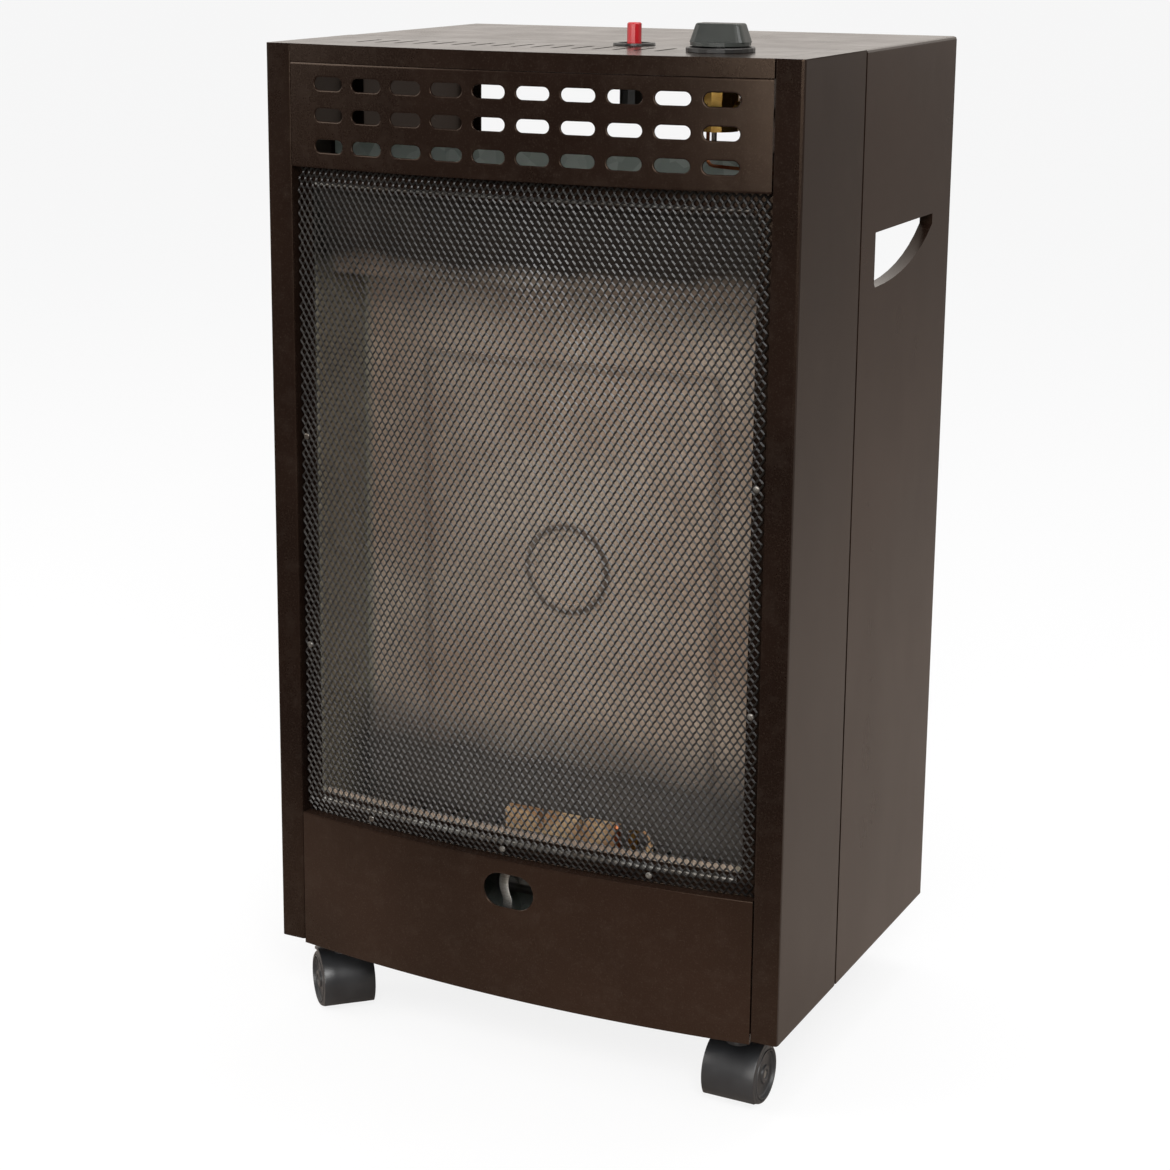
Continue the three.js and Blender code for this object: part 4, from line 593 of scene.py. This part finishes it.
HOLE_ARC = 12
HOLE_LIP = 0.0006
FOLD = 0.0008
PANEL_RETURN = 0.010
PANEL_STEPS = 60
SLOT = (0.0255, 0.0094)
SLOT_PITCH = (0.0343, 0.0225)
SLOT_COLUMNS, SLOT_ROWS = 10, 3
FIRST_SLOT_DOWN = 0.028
VIEW_HOLE = (0.0415, 0.0265)
VIEW_CELL = (0.062, 0.044)
VIEW_HOLE_Z = PANEL_TOP_Z - 0.024


def stadium(length, height, grow=0.0):
    """The outline of a hole, anticlockwise, grown by a margin."""
    radius = height / 2
    reach = length / 2 - radius
    ring = []
    for side, start in ((1, -math.pi / 2), (-1, math.pi / 2)):
        for k in range(HOLE_ARC + 1):
            a = start + math.pi * k / HOLE_ARC
            ring.append((side * reach + (radius + grow) * math.cos(a), (radius + grow) * math.sin(a)))
    return ring


def onto_cell(point, reach, half_x, half_z):
    """The place on the edge of a cell that a point of the hole's outline faces."""
    x, z = point
    middle = max(-reach, min(reach, x))
    dx, dz = x - middle, z
    steps = []
    if abs(dx) > 1e-9:
        steps.append((math.copysign(half_x, dx) - middle) / dx)
    if abs(dz) > 1e-9:
        steps.append(half_z / abs(dz))
    t = min(steps)
    return middle + dx * t, dz * t


class BowedPanel:
    """A thin bowed sheet built face by face in its own arc length and height."""

    def __init__(self):
        self.mesh = bmesh.new()

    def vert(self, s, z, inset):
        place, across, out = bow_frame(s, inset)
        return self.mesh.verts.new((place.x, place.y, z))

    def face(self, loop, front):
        self.mesh.faces.new(loop if front else tuple(reversed(loop)))

    def strip(self, s0, s1, low, high, front):
        """A band between two lines, each (inset, z), from one arc length to another."""
        steps = max(2, round(PANEL_STEPS * (s1 - s0) / (2 * PANEL_ARC)))
        ends = []
        for k in range(steps + 1):
            s = s0 + (s1 - s0) * k / steps
            ends.append((self.vert(s, low[1], low[0]), self.vert(s, high[1], high[0])))
        for a, b in zip(ends, ends[1:]):
            self.face((a[0], b[0], b[1], a[1]), front)

    def cell(self, s, z, hole, size, front):
        """The sheet round one hole; at the front the edge of the hole is pressed round."""
        length, height = hole
        half_x, half_z = size[0] / 2, size[1] / 2
        outline = stadium(length, height)
        count = len(outline)
        edge = [onto_cell(point, (length - height) / 2, half_x, half_z) for point in outline]
        inset = 0.0 if front else SHEET
        rings = [[self.vert(s + x, z + dz, inset) for x, dz in edge]]
        if front:
            lip = ((2 * HOLE_LIP, 0.0), (HOLE_LIP, 0.0), (HOLE_LIP * 0.3, HOLE_LIP * 0.3), (0.0, HOLE_LIP))
            for grow, deep in lip:
                rings.append([self.vert(s + x, z + dz, deep) for x, dz in stadium(length, height, grow)])
        rings.append([self.vert(s + x, z + dz, SHEET) for x, dz in outline])
        for a, b in zip(rings, rings[1:]):
            for k in range(count):
                m = (k + 1) % count
                self.face((a[k], a[m], b[m], b[k]), front)
        for sx, sz in ((1, 1), (-1, 1), (-1, -1), (1, -1)):
            side = [k for k, (x, dz) in enumerate(edge) if abs(x - sx * half_x) < 1e-7 and dz * sz > 0]
            flat = [k for k, (x, dz) in enumerate(edge) if abs(dz - sz * half_z) < 1e-7 and x * sx > 0]
            if not side or not flat:
                continue
            a = max(side, key=lambda k: abs(edge[k][1]))
            b = max(flat, key=lambda k: abs(edge[k][0]))
            if a == b:
                continue
            corner = self.vert(s + sx * half_x, z + sz * half_z, inset)
            loop = (rings[0][a], corner, rings[0][b])
            self.face(loop, front == (sx * sz > 0))

    def folds(self, low_z, high_z):
        """The rounded folds and returns along the head and the foot."""
        for z, sign in ((high_z, 1), (low_z, -1)):
            line = [(0.0, z - sign * 2 * FOLD), (0.0, z - sign * FOLD),
                    (0.25 * FOLD, z - sign * 0.25 * FOLD), (FOLD, z), (PANEL_RETURN, z),
                    (PANEL_RETURN, z - sign * SHEET), (SHEET, z - sign * SHEET)]
            for lower, upper in zip(line, line[1:]):
                self.strip(-PANEL_ARC, PANEL_ARC, lower, upper, sign > 0)


def pressed_panel(name, node, slot, hole, pitch, columns, rows, first_z):
    """A bowed panel with a grid of holes, the highest row at first_z, that stands for a CAD node."""
    low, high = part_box(node)
    panel = BowedPanel()
    wide = columns * pitch[0] / 2
    top = first_z + pitch[1] / 2
    foot = first_z - (rows - 0.5) * pitch[1]
    for front in (True, False):
        inset = 0.0 if front else SHEET
        for row in range(rows):
            for k in range(columns):
                s = (k - (columns - 1) / 2) * pitch[0]
                panel.cell(s, first_z - row * pitch[1], hole, pitch, front)
        margin = 2 * FOLD if front else SHEET
        panel.strip(-PANEL_ARC, PANEL_ARC, (inset, top), (inset, high.z - margin), front)
        panel.strip(-PANEL_ARC, PANEL_ARC, (inset, low.z + margin), (inset, foot), front)
        panel.strip(-PANEL_ARC, -wide, (inset, foot), (inset, top), front)
        panel.strip(wide, PANEL_ARC, (inset, foot), (inset, top), front)
    panel.folds(low.z, high.z)
    for side in (-1, 1):
        a = panel.vert(side * PANEL_ARC, low.z, 0.0)
        b = panel.vert(side * PANEL_ARC, low.z, PANEL_RETURN)
        c = panel.vert(side * PANEL_ARC, high.z, PANEL_RETURN)
        d = panel.vert(side * PANEL_ARC, high.z, 0.0)
        panel.face((a, b, c, d), side > 0)
    bmesh.ops.remove_doubles(panel.mesh, verts=panel.mesh.verts, dist=1e-6)
    made = piece(name, panel.mesh, slot, "cabinet", 50)
    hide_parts(node)


pressed_panel("upper_grille_fine", "upper_grille", "black_enamel", SLOT, SLOT_PITCH,
              SLOT_COLUMNS, SLOT_ROWS, TOP_Z - FIRST_SLOT_DOWN)
pressed_panel("lower_panel_fine", "lower_front_panel", "brown_enamel", VIEW_HOLE, VIEW_CELL,
              1, 1, VIEW_HOLE_Z)


def hole_strip():
    """The curved bright strip that is seen through the viewing hole, hung under the firebox floor."""
    mesh = bmesh.new()
    section = [(-0.0038, -0.0004), (0.0, -0.0012), (0.0038, -0.0004),
               (0.0038, 0.0004), (0.0, -0.0004), (-0.0038, 0.0004)]
    foot = VIEW_HOLE_Z - 0.017
    place, across, out = bow_frame(-0.004, 0.010)
    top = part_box("firebox_floor")[0].z
    line = []
    for k in range(25):
        t = k / 24
        height = top - CLEAR + (foot - top) * t
        sway = 0.0045 * math.sin(math.pi * min(1.0, 1.25 * t))
        line.append((sway, height, 0.004 * (1 - math.cos(math.pi * t)) / 2))
    rings = []
    for sway, height, forward in line:
        middle = place + across * (-0.0015 - sway) + out * (forward - 0.004)
        ring = []
        for a, b in section:
            point = middle + across * a - out * b
            ring.append(mesh.verts.new((point.x, point.y, height)))
        rings.append(ring)
    ring_faces(mesh, rings)
    mesh.faces.new(rings[0])
    mesh.faces.new(list(reversed(rings[-1])))
    bmesh.ops.recalc_face_normals(mesh, faces=mesh.faces)
    piece("hole_strip", mesh, "steel", "cabinet", 40)


hole_strip()


def pressed_rib(name, z, deep, tall):
    """A pressed rib along a band of the guard frame, behind the mesh."""
    mesh = bmesh.new()
    half = GUARD_HALF - 0.012
    seat = 0.0099
    rings = []
    for k in range(PANEL_STEPS + 1):
        s = -half + 2 * half * k / PANEL_STEPS
        ring = []
        for j in range(9):
            a = math.pi * j / 8 - math.pi / 2
            place, across, out = bow_frame(s, seat - deep * math.cos(a))
            ring.append(mesh.verts.new((place.x, place.y, z + tall * math.sin(a))))
        rings.append(ring)
    for a, b in zip(rings, rings[1:]):
        for k in range(9):
            m = (k + 1) % 9
            mesh.faces.new((a[k], b[k], b[m], a[m]))
    mesh.faces.new(rings[0])
    mesh.faces.new(list(reversed(rings[-1])))
    bmesh.ops.recalc_face_normals(mesh, faces=mesh.faces)
    piece(name, mesh, "steel", "cabinet", 40)


pressed_rib("foot_rib", GUARD_Z0 + 0.0105, 0.0016, 0.0024)
pressed_rib("head_rib", GUARD_Z1 - 0.0125, 0.0012, 0.0014)


# ---------------------------------------------------------------- casters

WHEEL_RADIUS = 0.0225
WHEEL_WIDTH = 0.0165
WEB_HALF = 0.004
TRAIL = 0.004
HOOD_INNER = WHEEL_RADIUS + 0.001
HOOD_WALL = 0.0024
HOOD_HALF = WEB_HALF + CLEAR + WHEEL_WIDTH
HOOD_FROM = math.pi * 0.38
HOOD_TO = math.pi * 1.19
STEM_FOOT_Z = BASE_Z - 0.0026
REST_TURN = {"front_left": math.pi / 4}


def wheel_mesh(side):
    """A wheel with a rounded tread, a raised rim ring, a dished disc and a hub cap."""
    x0 = WEB_HALF + CLEAR
    x1 = x0 + WHEEL_WIDTH
    r = WHEEL_RADIUS
    profile = [(0.0033, x0), (r - 0.0012, x0), (r - 0.0004, x0 + 0.0006), (r, x0 + 0.002),
               (r, x1 - 0.0042), (r - 0.0003, x1 - 0.0024), (r - 0.0011, x1 - 0.0011),
               (r - 0.0022, x1 - 0.0004), (r - 0.0030, x1 - 0.0003), (r - 0.0033, x1 - 0.0009),
               (r - 0.0037, x1 - 0.0009), (r - 0.0041, x1), (r - 0.0048, x1),
               (r - 0.0056, x1 - 0.0020), (r - 0.0066, x1 - 0.0026),
               (0.0082, x1 - 0.0024), (0.0072, x1 - 0.0018), (0.0066, x1 - 0.0006), (0.0060, x1 - 0.0004),
               (0.0040, x1 - 0.0003), (0.0033, x1 - 0.0012)]
    mesh = bmesh.new()
    sides = 64
    rings = []
    for radius, x in profile:
        rings.append([mesh.verts.new((side * x, radius * math.cos(2 * math.pi * k / sides),
                                      radius * math.sin(2 * math.pi * k / sides))) for k in range(sides)])
    rings.append(rings[0])
    ring_faces(mesh, rings)
    bmesh.ops.recalc_face_normals(mesh, faces=mesh.faces)
    return mesh


def hood_mesh():
    """The hood over both wheels with rounded edges, its web, and the boss under the stem."""
    mesh = bmesh.new()
    outer = HOOD_INNER + HOOD_WALL
    web = HOOD_INNER + 0.0004
    edge = 0.0011
    section = [(-HOOD_HALF, HOOD_INNER), (-HOOD_HALF, outer - edge),
               (-HOOD_HALF + 0.3 * edge, outer - 0.3 * edge), (-HOOD_HALF + edge, outer),
               (-HOOD_HALF / 2, outer), (0, outer), (HOOD_HALF / 2, outer),
               (HOOD_HALF - edge, outer), (HOOD_HALF - 0.3 * edge, outer - 0.3 * edge),
               (HOOD_HALF, outer - edge), (HOOD_HALF, HOOD_INNER)]
    steps = 40
    rings = []
    for k in range(steps + 1):
        a = HOOD_FROM + (HOOD_TO - HOOD_FROM) * k / steps
        rings.append([mesh.verts.new((x, r * math.cos(a), r * math.sin(a))) for x, r in section])
    ring_faces(mesh, rings)
    mesh.faces.new(rings[0])
    mesh.faces.new(list(reversed(rings[-1])))
    fan = []
    for x in (-WEB_HALF, WEB_HALF):
        line = [mesh.verts.new((x, 0, 0))]
        for k in range(steps + 1):
            a = HOOD_FROM + (HOOD_TO - HOOD_FROM) * k / steps
            line.append(mesh.verts.new((x, web * math.cos(a), web * math.sin(a))))
        fan.append(line)
    ring_faces(mesh, fan)
    mesh.faces.new(fan[0])
    mesh.faces.new(list(reversed(fan[1])))
    around = [2 * math.pi * k / 32 for k in range(32)]
    hub = [[mesh.verts.new((x, 0.006 * math.cos(a), 0.006 * math.sin(a))) for a in around]
           for x in (-WEB_HALF, WEB_HALF)]
    ring_faces(mesh, hub)
    mesh.faces.new(hub[0])
    mesh.faces.new(list(reversed(hub[1])))
    bmesh.ops.transform(mesh, matrix=Matrix.Translation((0, TRAIL, WHEEL_RADIUS)), verts=mesh.verts)
    boss = []
    foot = 2 * WHEEL_RADIUS + 0.0016
    top = STEM_FOOT_Z + 0.0170
    for r, z in ((0.0096, foot), (0.0092, foot + 0.003), (0.0082, foot + 0.006),
                 (0.0078, STEM_FOOT_Z - 0.0006), (0.0072, STEM_FOOT_Z), (0.0050, STEM_FOOT_Z),
                 (0.0050, top)):
        boss.append([mesh.verts.new((r * math.cos(a), r * math.sin(a), z)) for a in around])
    ring_faces(mesh, boss)
    mesh.faces.new(boss[-1])
    mesh.faces.new(list(reversed(boss[0])))
    bmesh.ops.recalc_face_normals(mesh, faces=mesh.faces)
    return mesh


def casters():
    """The hoods and wheels of the four casters, each riding on its own body."""
    for corner in ("front_left", "front_right", "rear_left", "rear_right"):
        low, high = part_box(f"caster_socket_{corner}")
        centre = (low + high) / 2
        turn = Matrix.Rotation(REST_TURN.get(corner, 0.0), 4, "Z")
        stand = Matrix.Translation((centre.x, centre.y, 0)) @ turn
        mesh = hood_mesh()
        bmesh.ops.transform(mesh, matrix=stand, verts=mesh.verts)
        made = piece(f"hood_{corner}_fine", mesh, "caster_grey", f"caster_{corner}", 32)
        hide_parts(f"caster_hood_{corner}")
        for name, side in (("left", -1), ("right", 1)):
            mesh = wheel_mesh(side)
            place = stand @ Matrix.Translation((0, TRAIL, WHEEL_RADIUS))
            bmesh.ops.transform(mesh, matrix=place, verts=mesh.verts)
            made = piece(f"wheel_{corner}_{name}_fine", mesh, "wheel_grey", f"wheel_{corner}_{name}", 32)
            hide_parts(f"caster_wheel_{corner}_{name}")


casters()


# ---------------------------------------------------------------- stage and light

def floor():
    """A pale floor for the camera; to other rays it is a warm grey that darkens towards the front."""
    bpy.ops.mesh.primitive_plane_add(size=80, location=(0, 0, 0))
    plane = bpy.context.object
    plane.name = "floor"
    made, n = material("floor")
    rays = n.add("ShaderNodeLightPath")
    place = n.add("ShaderNodeNewGeometry")
    apart = n.add("ShaderNodeSeparateXYZ")
    n.link(place.outputs["Position"], apart.inputs["Vector"])
    depth = n.add("ShaderNodeMapRange", From_Min=-0.16, From_Max=-0.8, To_Min=0.0, To_Max=1.0)
    depth.interpolation_type = "SMOOTHSTEP"
    n.link(apart.outputs["Y"], depth.inputs["Value"])
    shade = mix(n, depth.outputs["Result"], (0.56, 0.48, 0.42, 1), (0.06, 0.054, 0.05, 1))
    real = n.add("ShaderNodeBsdfDiffuse", Color=shade)
    pale = n.add("ShaderNodeBsdfDiffuse", Color=(0.95, 0.95, 0.95, 1))
    glow = n.add("ShaderNodeEmission", Color=(1, 1, 1, 1), Strength=1.0)
    seen = n.add("ShaderNodeMixShader", Fac=0.84)
    n.link(pale.outputs[0], seen.inputs[1])
    n.link(glow.outputs[0], seen.inputs[2])
    both = n.add("ShaderNodeMixShader", Fac=rays.outputs["Is Camera Ray"])
    n.link(real.outputs[0], both.inputs[1])
    n.link(seen.outputs[0], both.inputs[2])
    out = n.add("ShaderNodeOutputMaterial")
    n.link(both.outputs[0], out.inputs["Surface"])
    plane.data.materials.append(made)


def world():
    """White for the camera, even for soft light, and dark in front for reflections."""
    made = bpy.data.worlds.new("studio")
    bpy.context.scene.world = made
    made.use_nodes = True
    n = Nodes(made.node_tree)
    rays = n.add("ShaderNodeLightPath")
    place = n.add("ShaderNodeTexCoord")
    apart = n.add("ShaderNodeSeparateXYZ")
    n.link(place.outputs["Generated"], apart.inputs["Vector"])
    front = n.add("ShaderNodeMapRange", From_Min=-0.1, From_Max=-0.6, To_Min=0.0, To_Max=1.0)
    front.interpolation_type = "SMOOTHSTEP"
    n.link(apart.outputs["Y"], front.inputs["Value"])
    mirror = mix(n, front.outputs["Result"], (1, 0.94, 0.88, 1), (0.09, 0.08, 0.075, 1))
    shown = mix(n, rays.outputs["Is Camera Ray"], mirror, (1, 1, 1, 1))
    either = n.add("ShaderNodeMath", operation="MAXIMUM")
    n.link(rays.outputs["Is Camera Ray"], either.inputs[0])
    n.link(rays.outputs["Is Glossy Ray"], either.inputs[1])
    seen = n.add("ShaderNodeMath", operation="MAXIMUM")
    n.link(either.outputs[0], seen.inputs[0])
    n.link(rays.outputs["Is Transmission Ray"], seen.inputs[1])
    light = mix(n, seen.outputs[0], (0.55, 0.55, 0.56, 1), shown)
    back = n.add("ShaderNodeBackground", Color=light, Strength=1.0)
    out = n.add("ShaderNodeOutputWorld")
    n.link(back.outputs[0], out.inputs["Surface"])


def lamp(name, place, target, size, energy, colour=(1, 1, 1)):
    data = bpy.data.lights.new(name, "AREA")
    data.shape = "DISK"
    data.size = size
    data.energy = energy
    data.color = colour
    made = bpy.data.objects.new(name, data)
    bpy.context.scene.collection.objects.link(made)
    made.location = place
    made.rotation_euler = (Vector(target) - Vector(place)).to_track_quat("-Z", "Y").to_euler()


floor()
world()
lamp("key", (1.5, -2.6, 2.3), (0, -0.1, 0.4), 1.4, 70)
lamp("fill", (-2.2, -1.7, 1.5), (0, 0, 0.4), 1.6, 30, (1.0, 0.96, 0.92))
lamp("top", (0.2, 0.6, 2.8), (0, 0, 0.7), 1.2, 24)
lamp("front", (0.45, -3.2, 0.95), (0, -0.1, 0.4), 1.3, 34, (1.0, 0.97, 0.93))

bpy.context.scene.view_settings.view_transform = "Standard"
